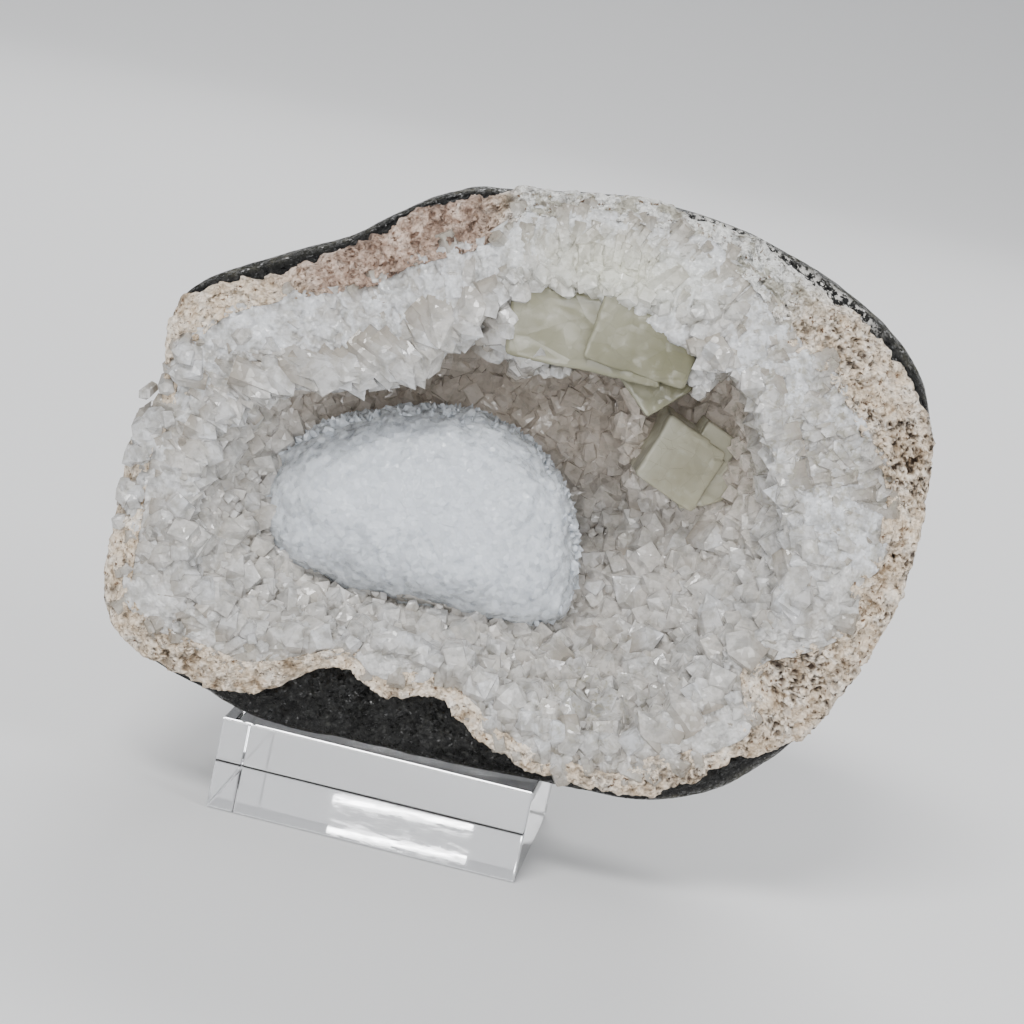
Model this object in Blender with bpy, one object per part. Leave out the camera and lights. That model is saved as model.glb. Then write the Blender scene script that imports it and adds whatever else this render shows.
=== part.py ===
"""Goosecreekite specimen: half a basalt geode lined with quartz, with a white goosecreekite ball and
two calcite crystals in its hollow, standing on a clear acrylic block.

Metres, +Z up, the open side of the geode towards -Y, the block's underside at Z = 0.
The stone is shaped in its face frame: X to the right, Y into the stone, Z up the broken face, with the
origin at the middle of the broken face. An empty leans that frame back and lifts it onto the block.
"""

import math
import random

import bmesh
import bpy
import numpy as np
from mathutils import Matrix, Vector, noise

MM = 0.001
GAP = 0.35 * MM  # clearance between pieces that touch
STEPS = 60  # corners round every ring of the stone

# How the stone stands
FACE_LEAN = math.radians(6)
FACE_HEIGHT = 71.0 * MM

# The acrylic block
BLOCK_LENGTH = 60.0 * MM
BLOCK_DEPTH = 45.0 * MM
BLOCK_HEIGHT = 18.0 * MM
BLOCK_BEVEL = 0.6 * MM
BLOCK_YAW = math.radians(-6)
BLOCK_PLACE = (-13.1 * MM, 20.5 * MM)

# Depths of the layers behind the face, at the back of the stone
BASALT_BACK = 64.0 * MM
BASALT_LINING = 55.0 * MM
RIND_LINING = 52.0 * MM
HOLLOW_BACK = 44.0 * MM
WIDEST_DEPTH = 14.0 * MM
HOLLOW_POLE = (2.0 * MM, 8.0 * MM)

# Outlines on the broken face: angle in degrees from +X towards +Z, and radius in millimetres
SILHOUETTE = [
    (0, 74), (8, 75), (15, 76.3), (22, 78), (27, 78.3), (33, 77), (40, 74), (47, 70.5), (55, 67),
    (65, 63.2), (75, 60.3), (85, 57.5), (95, 56), (102, 56.8), (110, 58), (118, 57.6), (127, 57),
    (135, 57), (142, 60), (150, 64.2), (157, 70.2), (162, 73), (168, 71), (175, 68), (180, 70),
    (185, 73), (192, 73.5), (200, 77), (205, 79.3), (210, 79.5), (216, 76.4), (222, 71.5),
    (228, 68.5), (235, 64.4), (245, 58.2), (255, 54.8), (265, 53.4), (275, 53.4), (285, 55),
    (295, 58.6), (302, 62.2), (308, 65), (314, 67.4), (320, 68.6), (327, 70), (333, 70.5),
    (340, 71), (348, 72), (354, 73),
]
RIND_OUTLINE = [
    (0, 72.8), (15, 75.1), (22, 76.6), (27, 75.3), (33, 73), (40, 69.5), (47, 66.5), (55, 64.3),
    (65, 61.4), (75, 59), (85, 56.3), (95, 54.8), (101, 55), (106, 54.2), (112, 55), (120, 54.8),
    (127, 54.2), (135, 54), (142, 56.2), (150, 59.5), (157, 67), (162, 71.4), (168, 69.8),
    (175, 66.8), (180, 68.8), (185, 71.8), (192, 72.3), (200, 75.8), (205, 78), (210, 78.2),
    (216, 74.8), (221, 70.2), (226, 65.5), (229, 60.5), (231.5, 53), (234, 46.6), (237, 44.2),
    (242, 44.6), (248, 44), (255, 41), (260, 39.6), (265, 41.4), (270, 43.8), (274, 45.7),
    (281, 49), (288, 52), (296, 55.8), (301, 59), (305, 61), (310, 62), (314, 63), (318, 62.3),
    (321, 63), (325, 66.2), (330, 68.8), (337, 69.6), (341, 69.9), (348, 70.8), (354, 71.8),
]
QUARTZ_OUTLINE = [
    (0, 68.5), (8, 69.5), (15, 69.8), (19, 68), (22, 65.9), (27, 65), (32, 63.5), (37, 60.4),
    (41, 59), (45, 59.3), (52, 60), (60, 59.3), (67, 58.8), (75, 57.5), (85, 55), (95, 53.6),
    (100, 53.4), (104, 51), (108, 48.6), (113, 47.8), (120, 47.8), (128, 48.6), (135, 48.4),
    (142, 51), (150, 56.3), (155, 60.5), (160, 65), (164, 66.8), (168, 68.3), (175, 65.4),
    (180, 67.4), (185, 70.4), (192, 70.9), (198, 72.4), (203, 75), (207, 76), (210, 75.2),
    (213, 71), (216, 68), (219, 64.7), (223, 62), (226, 57), (229, 50), (232, 46), (235, 43),
    (238, 42.2), (243, 42.6), (247, 42.2), (251, 40), (258, 37.6), (262, 37.8), (266, 39.6),
    (271, 41.7), (277, 45.4), (286, 49.4), (293, 52.4), (298, 55), (302, 57.2), (306, 57),
    (309, 55.8), (312, 58), (316, 59), (321, 60.4), (326, 62.4), (329, 60), (332, 55.5),
    (335, 54), (338, 54.5), (341, 58.4), (344, 61.4), (348, 65.6), (351, 67.4), (355, 66),
    (358, 65.4),
]
BROW_OUTLINE = [
    (0, 52), (8, 50), (16, 49), (28, 48), (36, 48.5), (42, 46), (52, 41), (60, 40), (80, 39.5),
    (103, 38), (112, 34.5), (120, 33), (129, 32.6), (141, 31.8), (149, 34.5), (154, 37),
    (164, 46.5), (174, 55), (186, 60), (205, 63), (212, 59), (220, 53), (228, 43), (235, 36),
    (250, 34), (262, 32.5), (270, 35), (278, 38), (288, 42), (298, 48), (308, 50), (328, 50),
    (338, 49), (348, 54),
]
# How the break dips: millimetres behind the face at the brow, and further at the outer edge
BREAK_DIP = [
    (0, 1), (60, 0), (120, 0), (150, 1), (175, 3), (190, 3), (210, 1.5), (240, 0), (270, 0),
    (300, 0.5), (330, 1.5),
]
EDGE_DIP = [
    (0, 3), (45, 6), (75, 7), (95, 6), (120, 4), (150, 3), (180, 3), (210, 2.5), (240, 1.5),
    (270, 1.5), (300, 2), (330, 3),
]
# 1 where the tan rind laps over the basalt's rim and reaches the silhouette, 0 where it doesn't
RIND_LAP = [
    (0, 1), (18, 1), (25, 0), (70, 0), (76, 1), (100, 1), (105, 0), (160, 0), (165, 1), (213, 1),
    (218, 0), (328, 0), (334, 1),
]
# Shape of the hollow's wall: under 1 it runs straight in like a roof, over 1 it slopes like a floor
HOLLOW_SLOPE = [
    (0, 1.0), (15, 0.85), (30, 0.6), (60, 0.5), (150, 0.5), (165, 0.7), (180, 1.0), (200, 1.2),
    (230, 1.3), (270, 1.3), (300, 1.2), (330, 1.15), (345, 1.1),
]
# Rows of crystal points down the wall: degrees from the brow to the pole, and how many times fewer
HOLLOW_ROWS = [
    (0, 1), (7, 1), (15, 1), (24, 1), (34, 1), (45, 1), (56, 2), (67, 2), (76, 4), (83, 8),
]
LAYER_SLOPE = 0.62  # the same power for the layers under the quartz
BASALT_SLOPE = 0.58

# The goosecreekite ball, centre and half sizes in the face frame
BALL_CENTRE = Vector((-17.0, 22.0, -7.6)) * MM
BALL_RADII = Vector((31.0, 20.0, 19.6)) * MM
BALL_TURN = math.radians(-4)
BALL_SUBDIVISIONS = 4
BALL_ROUGHNESS = 0.5 * MM

# Calcite rhombs: centre and three edges in millimetres in the face frame
SEAT_AHEAD = 8.0 * MM
CALCITE_UPPER = [
    ((7.0, 6.5, 33.0), (30.0, 2.5, -0.5), (-1.5, 1.5, 15.0), (2.0, 14.0, 1.5)),
    ((17.5, 4.6, 34.2), (19.0, 3.4, -2.4), (1.8, -1.6, 12.6), (1.0, 9.5, 1.0)),
    ((20.6, 8.4, 26.0), (7.6, 1.5, 7.0), (-7.4, 1.0, 7.2), (0.5, 8.0, 0.5)),
]
CALCITE_LOWER = [
    ((28.6, 27.0, 11.2), (12.5, 3.0, -5.4), (4.6, 1.5, 12.6), (-1.5, 12.0, 1.5)),
    ((33.5, 29.0, 9.0), (10.0, 2.0, 4.0), (-3.5, 2.0, 10.0), (-1.0, 9.0, 0.5)),
]


def at(table, angles):
    """Value of a table of (degrees, value) at each angle, wrapping at 360."""
    degrees, values = zip(*table)
    return np.interp(angles, degrees, values, period=360)


def ring_angles(count):
    return np.arange(count) * 360.0 / count


def ring(angles, radii, depths, pole=(0.0, 0.0), share=1.0):
    """Points round the face axis; share moves the ring's middle from the face centre to the pole."""
    turn = np.radians(angles)
    x = radii * np.cos(turn) + pole[0] * (1 - share)
    z = radii * np.sin(turn) + pole[1] * (1 - share)
    return np.stack([x, np.broadcast_to(depths, x.shape), z], axis=1)


def break_depth(angles, radii):
    """Depth of the broken surface: level at the brow, dropping back towards the outer edge."""
    brow = at(BROW_OUTLINE, angles) * MM
    edge = at(SILHOUETTE, angles) * MM
    across = np.clip((radii - brow) / (edge - brow), 0, 1)
    return (at(BREAK_DIP, angles) + at(EDGE_DIP, angles) * across**2) * MM


def layer_rings(angles, outline, front, back, inset):
    """Rings of the bowl between two layers, from near the face to near the back, then its pole."""
    radii = at(outline, angles) * MM
    far = at(SILHOUETTE, angles) * MM * 0.86  # deeper in, the bowl follows the stone's own outline
    rings = []
    for degrees in (17, 35, 53, 72):
        turn = math.radians(degrees)
        blend = math.sin(turn)
        reach = radii + (np.minimum(radii, far) - radii) * blend
        radius = (reach - inset) * math.cos(turn) ** LAYER_SLOPE
        depth = front + (back - inset - front) * math.sin(turn)
        rings.append(ring(angles, radius, depth))
    return rings, np.array([[0.0, back - inset, 0.0]])


def clear_of_block(points):
    """Lifts points so that the stone's underside is flat where it stands on the block."""
    lowest = BLOCK_HEIGHT + GAP
    height = FACE_HEIGHT + points[:, 2] * math.cos(FACE_LEAN) - points[:, 1] * math.sin(FACE_LEAN)
    lift = np.maximum(lowest - height, 0) / math.cos(FACE_LEAN)
    return points + np.outer(lift, (0, 0, 1))


def swell(points, amount):
    """Low swellings of a weathered surface, the same on every run."""
    out = points.copy()
    for i, p in enumerate(points):
        place = Vector(p) / (26 * MM)
        push = noise.noise(place) + 0.5 * noise.noise(place * 2.3)
        out[i] += np.array(Vector(p - np.array([0, 25 * MM, 0])).normalized()) * push * amount
    return out


def add_rings(bm, rings, deep_first):
    """Joins rings of equal size with triangles; a one-point ring closes its end as a fan.

    deep_first says which way the rings run, so that two facing surfaces split their quads alike."""
    made = [[bm.verts.new(p) for p in points] for points in rings]
    for low, high in zip(made, made[1:]):
        count = max(len(low), len(high))
        for k in range(count):
            n = (k + 1) % count
            if len(low) == 1:
                bm.faces.new((low[0], high[k], high[n]))
            elif len(high) == 1:
                bm.faces.new((low[n], low[k], high[0]))
            elif deep_first:
                bm.faces.new((low[n], low[k], high[k]))
                bm.faces.new((low[n], high[k], high[n]))
            else:
                bm.faces.new((low[n], low[k], high[n]))
                bm.faces.new((low[k], high[k], high[n]))
    return made


def material(name, colour, roughness, transmission=0.0, ior=1.5):
    made = bpy.data.materials.new(name)
    made.use_nodes = True
    shader = made.node_tree.nodes["Principled BSDF"]
    shader.inputs["Base Color"].default_value = (*colour, 1.0)
    shader.inputs["Roughness"].default_value = roughness
    shader.inputs["Transmission Weight"].default_value = transmission
    shader.inputs["IOR"].default_value = ior
    made.diffuse_color = (*colour, 1.0)
    return made


def object_from(bm, name, finish, parent, smooth=False):
    bmesh.ops.recalc_face_normals(bm, faces=bm.faces[:])
    mesh = bpy.data.meshes.new(name)
    bm.to_mesh(mesh)
    bm.free()
    if smooth:
        mesh.shade_smooth()
        mesh.set_sharp_from_angle(angle=math.radians(40))
    made = bpy.data.objects.new(name, mesh)
    made.data.materials.append(finish)
    made.parent = parent
    bpy.context.scene.collection.objects.link(made)
    return made


def make_cutter(made):
    made.hide_render = True
    made.display_type = "WIRE"
    return made


def boolean(target, other, operation):
    step = target.modifiers.new(other.name, "BOOLEAN")
    step.operation = operation
    step.solver = "EXACT"
    step.object = other


def basalt_matrix(parent, finish):
    """The dark bowl of basalt: inner wall, broken rim, then the weathered outside."""
    angles = ring_angles(STEPS)
    lining = at(RIND_OUTLINE, angles) * MM
    outside = at(SILHOUETTE, angles) * MM
    lap = at(RIND_LAP, angles)
    edge = np.maximum(lining + 0.6 * MM, outside - 3.0 * MM * (1 - lap))
    rim_depth = break_depth(angles, outside) + (1.5 + 3 * lap) * MM
    inner, pole = layer_rings(angles, RIND_OUTLINE, rim_depth, BASALT_LINING, -GAP / 2)
    rough = np.array([noise.noise(Vector((k * 0.9, 3.0, 0.0))) for k in range(STEPS)]) * 0.8 * MM
    rings = [pole, *reversed(inner)]
    rings.append(ring(angles, lining + GAP / 2, rim_depth))
    rings.append(ring(angles, lining + (edge - lining) * 0.55, rim_depth + 0.3 * MM + np.abs(rough)))
    rings.append(ring(angles, edge, rim_depth + 1.2 * MM))
    skin = [
        ring(angles, edge + (outside - edge) * 0.7, rim_depth + 4.5 * MM),
        ring(angles, outside, WIDEST_DEPTH),
    ]
    for degrees in (15, 31, 47, 62, 77):
        turn = math.radians(degrees)
        radius = outside * math.cos(turn) ** BASALT_SLOPE
        depth = WIDEST_DEPTH + (BASALT_BACK - WIDEST_DEPTH) * math.sin(turn)
        skin.append(swell(ring(angles, radius, depth), 1.6 * MM))
    skin.append(np.array([[0.0, BASALT_BACK, 0.0]]))
    bm = bmesh.new()
    add_rings(bm, rings + [clear_of_block(points) for points in skin], deep_first=True)
    return object_from(bm, "basalt_matrix", finish, parent, smooth=True)


def altered_rind(parent, finish):
    """The thin tan bowl of altered rock between the basalt and the quartz."""
    angles = ring_angles(STEPS)
    outer = at(RIND_OUTLINE, angles) * MM
    inner = at(QUARTZ_OUTLINE, angles) * MM
    outside = at(SILHOUETTE, angles) * MM
    lap = at(RIND_LAP, angles)
    rim_depth = break_depth(angles, outside) + (1.5 + 3 * lap) * MM
    lip = outer + 0.3 * MM + (outside - outer - 0.3 * MM) * lap
    front = break_depth(angles, outer)
    crumble = np.array([noise.noise(Vector((k * 1.7, 0.0, 5.0))) for k in range(STEPS)]) * MM
    back, pole = layer_rings(angles, RIND_OUTLINE, rim_depth, BASALT_LINING, GAP / 2)
    face, face_pole = layer_rings(
        angles, QUARTZ_OUTLINE, break_depth(angles, inner), RIND_LINING, -GAP / 2
    )
    rings = [pole, *reversed(back)]
    rings.append(ring(angles, outer - GAP / 2, rim_depth - GAP))
    rings.append(ring(angles, lip, rim_depth - GAP))
    rings.append(ring(angles, lip, front + 0.4 * MM))
    rings.append(ring(angles, (outer + inner) / 2, front - 0.3 * MM + crumble * 0.8))
    rings.append(ring(angles, inner + GAP / 2, break_depth(angles, inner) + 0.8 * MM))
    bm = bmesh.new()
    made = add_rings(bm, rings, deep_first=True)
    add_lining(bm, made[-1], [*face, face_pole])
    return object_from(bm, "altered_rind", finish, parent)


def add_lining(bm, first, rings):
    """Continues from a ring of vertices down a bowl to its pole, split as the facing surface is."""
    low = first
    for points in rings:
        high = [bm.verts.new(p) for p in points]
        for k in range(len(low)):
            n = (k + 1) % len(low)
            if len(high) == 1:
                bm.faces.new((low[n], low[k], high[0]))
            else:
                bm.faces.new((low[n], low[k], high[n]))
                bm.faces.new((low[k], high[k], high[n]))
        low = high


def hollow_ring(angles, degrees):
    """One ring of the hollow's wall: 0 degrees is the brow and 90 the deepest point."""
    brow = at(BROW_OUTLINE, angles) * MM
    slope = at(HOLLOW_SLOPE, angles)
    start = at(BREAK_DIP, angles) * MM
    turn = math.radians(degrees)
    radius = brow * math.cos(turn) ** slope
    sink = math.sin(turn) ** np.clip(2 * slope - 0.4, 0.8, 2)
    depth = start + (HOLLOW_BACK - start) * sink
    return ring(angles, radius, depth, HOLLOW_POLE, math.cos(turn))


def quartz_crust(parent, finish):
    """The quartz lining, with a six-sided point grown from every cell of its surface."""
    angles = ring_angles(STEPS)
    outer = at(QUARTZ_OUTLINE, angles) * MM
    depth = break_depth(angles, outer)
    back, pole = layer_rings(angles, QUARTZ_OUTLINE, depth, RIND_LINING, GAP / 2)
    rings = [pole, *reversed(back), ring(angles, outer - GAP / 2, depth)]
    bm = bmesh.new()
    rim = add_rings(bm, rings, deep_first=True)[-1]

    fine = ring_angles(2 * STEPS)
    outer = at(QUARTZ_OUTLINE, fine) * MM
    brow = at(BROW_OUTLINE, fine) * MM
    surface = []
    for across in (0.08, 0.36, 0.68):
        radius = outer + (brow - outer) * across
        surface.append(ring(fine, radius, break_depth(fine, radius) - 0.6 * MM))
    for degrees, thinning in HOLLOW_ROWS:
        surface.append(hollow_ring(ring_angles(2 * STEPS // thinning), degrees))

    draw = random.Random(11)
    rows = []
    for j, points in enumerate(surface):
        spacing = np.linalg.norm(points[1] - points[0])
        loose = 0.0 if j == 0 else 0.2 * spacing
        rows.append(
            [bm.verts.new([c + draw.uniform(-loose, loose) for c in p]) for p in points]
        )
    for k in range(STEPS):
        n = (k + 1) % STEPS
        left, middle, right = rows[0][2 * k], rows[0][2 * k + 1], rows[0][(2 * k + 2) % len(fine)]
        bm.faces.new((rim[k], left, middle))
        bm.faces.new((rim[k], middle, rim[n]))
        bm.faces.new((rim[n], middle, right))
    cells = []
    for j, (low, high) in enumerate(zip(rows, rows[1:])):
        thinner = len(low) // len(high)
        for start in range(j % 2, len(low), 2):
            a = [(start + step) % len(low) for step in range(3)]
            if thinner == 2:
                a = [(start - j % 2 + step) % len(low) for step in range(3)]
                top = [high[a[2] // 2 % len(high)], high[a[0] // 2]]
            else:
                top = [high[a[2]], high[a[1]], high[a[0]]]
            cells.append(bm.faces.new([low[a[0]], low[a[1]], low[a[2]], *top]))
    last = rows[-1]
    tip = bm.verts.new((HOLLOW_POLE[0], HOLLOW_BACK, HOLLOW_POLE[1]))
    for k in range(len(last)):
        bm.faces.new((last[k], tip, last[(k + 1) % len(last)]))
    bmesh.ops.recalc_face_normals(bm, faces=bm.faces[:])
    grow_points(bm, cells, draw)
    return object_from(bm, "quartz_crust", finish, parent)


def grow_points(bm, cells, draw):
    """Raises the middle of each cell into a crystal point that leans a little its own way."""
    normals = [cell.normal.copy() for cell in cells]
    sizes = [math.sqrt(cell.calc_area()) for cell in cells]
    middles = bmesh.ops.poke(bm, faces=cells, center_mode="MEAN")["verts"]
    for middle, normal, size in zip(middles, normals, sizes):
        side = Vector([draw.uniform(-1, 1) for _ in range(3)])
        height = min(0.5 * size, 3.2 * MM) * draw.uniform(0.65, 1.15)
        middle.co += normal * height + (side - normal * side.dot(normal)) * 0.16 * size


def ball_mesh(parent, name, finish, extra=0.0):
    """The goosecreekite ball: a dome of blade ends, swollen by extra where it is a cutter."""
    bm = bmesh.new()
    bmesh.ops.create_icosphere(bm, subdivisions=BALL_SUBDIVISIONS, radius=1.0)
    for v in bm.verts:
        way = v.co.normalized()
        bump = noise.noise(way * 7.0) + 0.5 * noise.noise(way * 15.0)
        base = Vector([way[i] * BALL_RADII[i] for i in range(3)])
        v.co = base + way * (bump * BALL_ROUGHNESS + extra)
    made = object_from(bm, name, finish, parent)
    made.location = BALL_CENTRE
    made.rotation_euler = (0, BALL_TURN, 0)
    return made


def rhomb(bm, corner_set, extra):
    """A block with three edge directions about its centre.

    A seat for it is grown by extra on every side and reaches SEAT_AHEAD further out of the stone."""
    centre, *edges = (Vector(v) * MM for v in corner_set)
    halves = [edge / 2 + edge.normalized() * extra * 1.15 for edge in edges]
    if extra:
        outward = edges[2].normalized() * SEAT_AHEAD / 2
        centre -= outward
        halves[2] += outward
    made = bmesh.ops.create_cube(bm, size=2.0)["verts"]
    for v in made:
        signs = v.co.copy()
        v.co = centre + sum((halves[i] * signs[i] for i in range(3)), Vector())


def calcite(parent, name, finish, rhombs, extra=0.0):
    """Intergrown rhombs joined in one solid."""
    bm = bmesh.new()
    rhomb(bm, rhombs[0], extra)
    made = object_from(bm, name, finish, parent)
    for number, corner_set in enumerate(rhombs[1:], start=2):
        bm = bmesh.new()
        rhomb(bm, corner_set, extra)
        other = make_cutter(object_from(bm, f"{name}_rhomb_{number}", finish, parent))
        boolean(made, other, "UNION")
    return made


def display_block(parent, finish):
    """The clear block that the stone stands on, turned a little to the right."""
    bm = bmesh.new()
    bmesh.ops.create_cube(bm, size=1.0)
    bmesh.ops.scale(bm, vec=(BLOCK_LENGTH, BLOCK_DEPTH, BLOCK_HEIGHT), verts=bm.verts[:])
    made = object_from(bm, "display_block", finish, parent)
    made.location = (*BLOCK_PLACE, BLOCK_HEIGHT / 2)
    made.rotation_euler = (0, 0, BLOCK_YAW)
    bevel = made.modifiers.new("worn edges", "BEVEL")
    bevel.width = BLOCK_BEVEL
    bevel.segments = 1
    return made


def middle_of(objects):
    """Middle of the objects' box in plan."""
    bpy.context.view_layer.update()
    graph = bpy.context.evaluated_depsgraph_get()
    points = []
    for made in objects:
        shape = made.evaluated_get(graph).to_mesh()
        points += [made.matrix_world @ v.co for v in shape.vertices]
    low = [min(p[i] for p in points) for i in range(2)]
    high = [max(p[i] for p in points) for i in range(2)]
    return (low[0] + high[0]) / 2, (low[1] + high[1]) / 2


def main():
    for old in list(bpy.data.objects):
        bpy.data.objects.remove(old, do_unlink=True)
    stand = bpy.data.objects.new("specimen", None)
    face = bpy.data.objects.new("face_frame", None)
    for empty in (stand, face):
        bpy.context.scene.collection.objects.link(empty)
    face.parent = stand
    face.location = (0, 0, FACE_HEIGHT)
    face.rotation_euler = (-FACE_LEAN, 0, 0)

    basalt = material("basalt", (0.035, 0.035, 0.032), 0.6)
    tan = material("altered_rock", (0.62, 0.44, 0.30), 0.9)
    quartz = material("quartz", (0.80, 0.79, 0.77), 0.25, transmission=0.3, ior=1.54)
    white = material("goosecreekite", (0.84, 0.86, 0.89), 0.35)
    honey = material("calcite", (0.78, 0.75, 0.60), 0.3, transmission=0.3, ior=1.6)
    acrylic = material("acrylic", (0.95, 0.96, 0.97), 0.05, transmission=1.0, ior=1.49)

    crust = quartz_crust(face, quartz)
    shown = [
        basalt_matrix(face, basalt),
        altered_rind(face, tan),
        crust,
        ball_mesh(face, "goosecreekite_ball", white),
        calcite(face, "calcite_upper", honey, CALCITE_UPPER),
        calcite(face, "calcite_lower", honey, CALCITE_LOWER),
        display_block(stand, acrylic),
    ]
    boolean(crust, make_cutter(ball_mesh(face, "ball_seat", white, GAP)), "DIFFERENCE")
    for name, rhombs in (("upper_seat", CALCITE_UPPER), ("lower_seat", CALCITE_LOWER)):
        boolean(crust, make_cutter(calcite(face, name, honey, rhombs, GAP)), "DIFFERENCE")

    x, y = middle_of(shown)
    stand.location = (-x, -y, 0)


main()
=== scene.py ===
import math
import bpy
import numpy as np
from mathutils import Matrix, Vector


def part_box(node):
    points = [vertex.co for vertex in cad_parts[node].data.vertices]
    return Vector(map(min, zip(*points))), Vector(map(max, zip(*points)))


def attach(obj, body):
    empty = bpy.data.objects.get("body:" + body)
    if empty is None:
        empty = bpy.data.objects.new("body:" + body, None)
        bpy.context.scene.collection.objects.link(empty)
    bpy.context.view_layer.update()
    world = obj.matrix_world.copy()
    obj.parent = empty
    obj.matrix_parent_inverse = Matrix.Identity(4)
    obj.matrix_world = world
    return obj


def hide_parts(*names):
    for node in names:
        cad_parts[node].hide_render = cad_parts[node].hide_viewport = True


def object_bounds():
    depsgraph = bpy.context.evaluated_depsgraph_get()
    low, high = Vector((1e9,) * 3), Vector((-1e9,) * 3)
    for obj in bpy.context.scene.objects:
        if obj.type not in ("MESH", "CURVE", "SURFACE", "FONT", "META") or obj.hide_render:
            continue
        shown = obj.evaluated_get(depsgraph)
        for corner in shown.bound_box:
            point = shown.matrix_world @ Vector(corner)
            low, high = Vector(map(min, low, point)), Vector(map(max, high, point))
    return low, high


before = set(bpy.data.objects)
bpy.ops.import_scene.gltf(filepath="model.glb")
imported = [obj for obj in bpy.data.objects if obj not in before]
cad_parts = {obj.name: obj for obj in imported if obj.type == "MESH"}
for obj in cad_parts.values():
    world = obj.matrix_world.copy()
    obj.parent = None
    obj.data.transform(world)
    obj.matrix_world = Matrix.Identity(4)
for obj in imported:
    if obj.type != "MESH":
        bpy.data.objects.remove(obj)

# Goosecreekite specimen: half a quartz-lined basalt geode on a clear acrylic block.
# Shapes are worked out in millimetres in the stone's own frame: x to the right, y into the stone,
# z up the broken face, from the middle of that face. placed() leans the frame back on the block.

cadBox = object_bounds()
print("frame loaded")

stone = {
    "lean": 6.0,  # degrees that the broken face leans back
    "faceHeight": 71.0,  # middle of the broken face above the shelf
    "faceFromBlock": (13.1, -20.5),  # from the block's middle to the face's middle, seen from above
    "underside": 18.35,  # height of the flat where the stone stands on the block
    "basaltBack": 64.0,  # depths behind the face
    "basaltLining": 55.0,
    "rindLining": 52.0,
    "hollowBack": 44.0,
    "widest": 14.0,
    "pole": (2.0, 8.0),  # the deepest place of the hollow, across and up
    "edgeSafety": 0.15,  # how far every piece stays inside the CAD model's box
}

blockLow, blockHigh = (np.array(corner) * 1000 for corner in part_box("display_block"))
blockMiddle = (blockLow + blockHigh) / 2
faceMiddle = np.array([
    blockMiddle[0] + stone["faceFromBlock"][0],
    blockMiddle[1] + stone["faceFromBlock"][1],
    stone["faceHeight"],
])


# the frame leans back about X, then moves to the face's middle; millimetres become metres
def placed(p):
    c, s = math.cos(math.radians(stone["lean"])), math.sin(math.radians(stone["lean"]))
    turned = np.stack([p[..., 0], p[..., 1] * c + p[..., 2] * s, p[..., 2] * c - p[..., 1] * s], -1)
    low, high = (np.array(corner) * 1000 for corner in cadBox)
    safe = stone["edgeSafety"]
    return np.clip(turned + faceMiddle, low + safe, high - safe) / 1000


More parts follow.
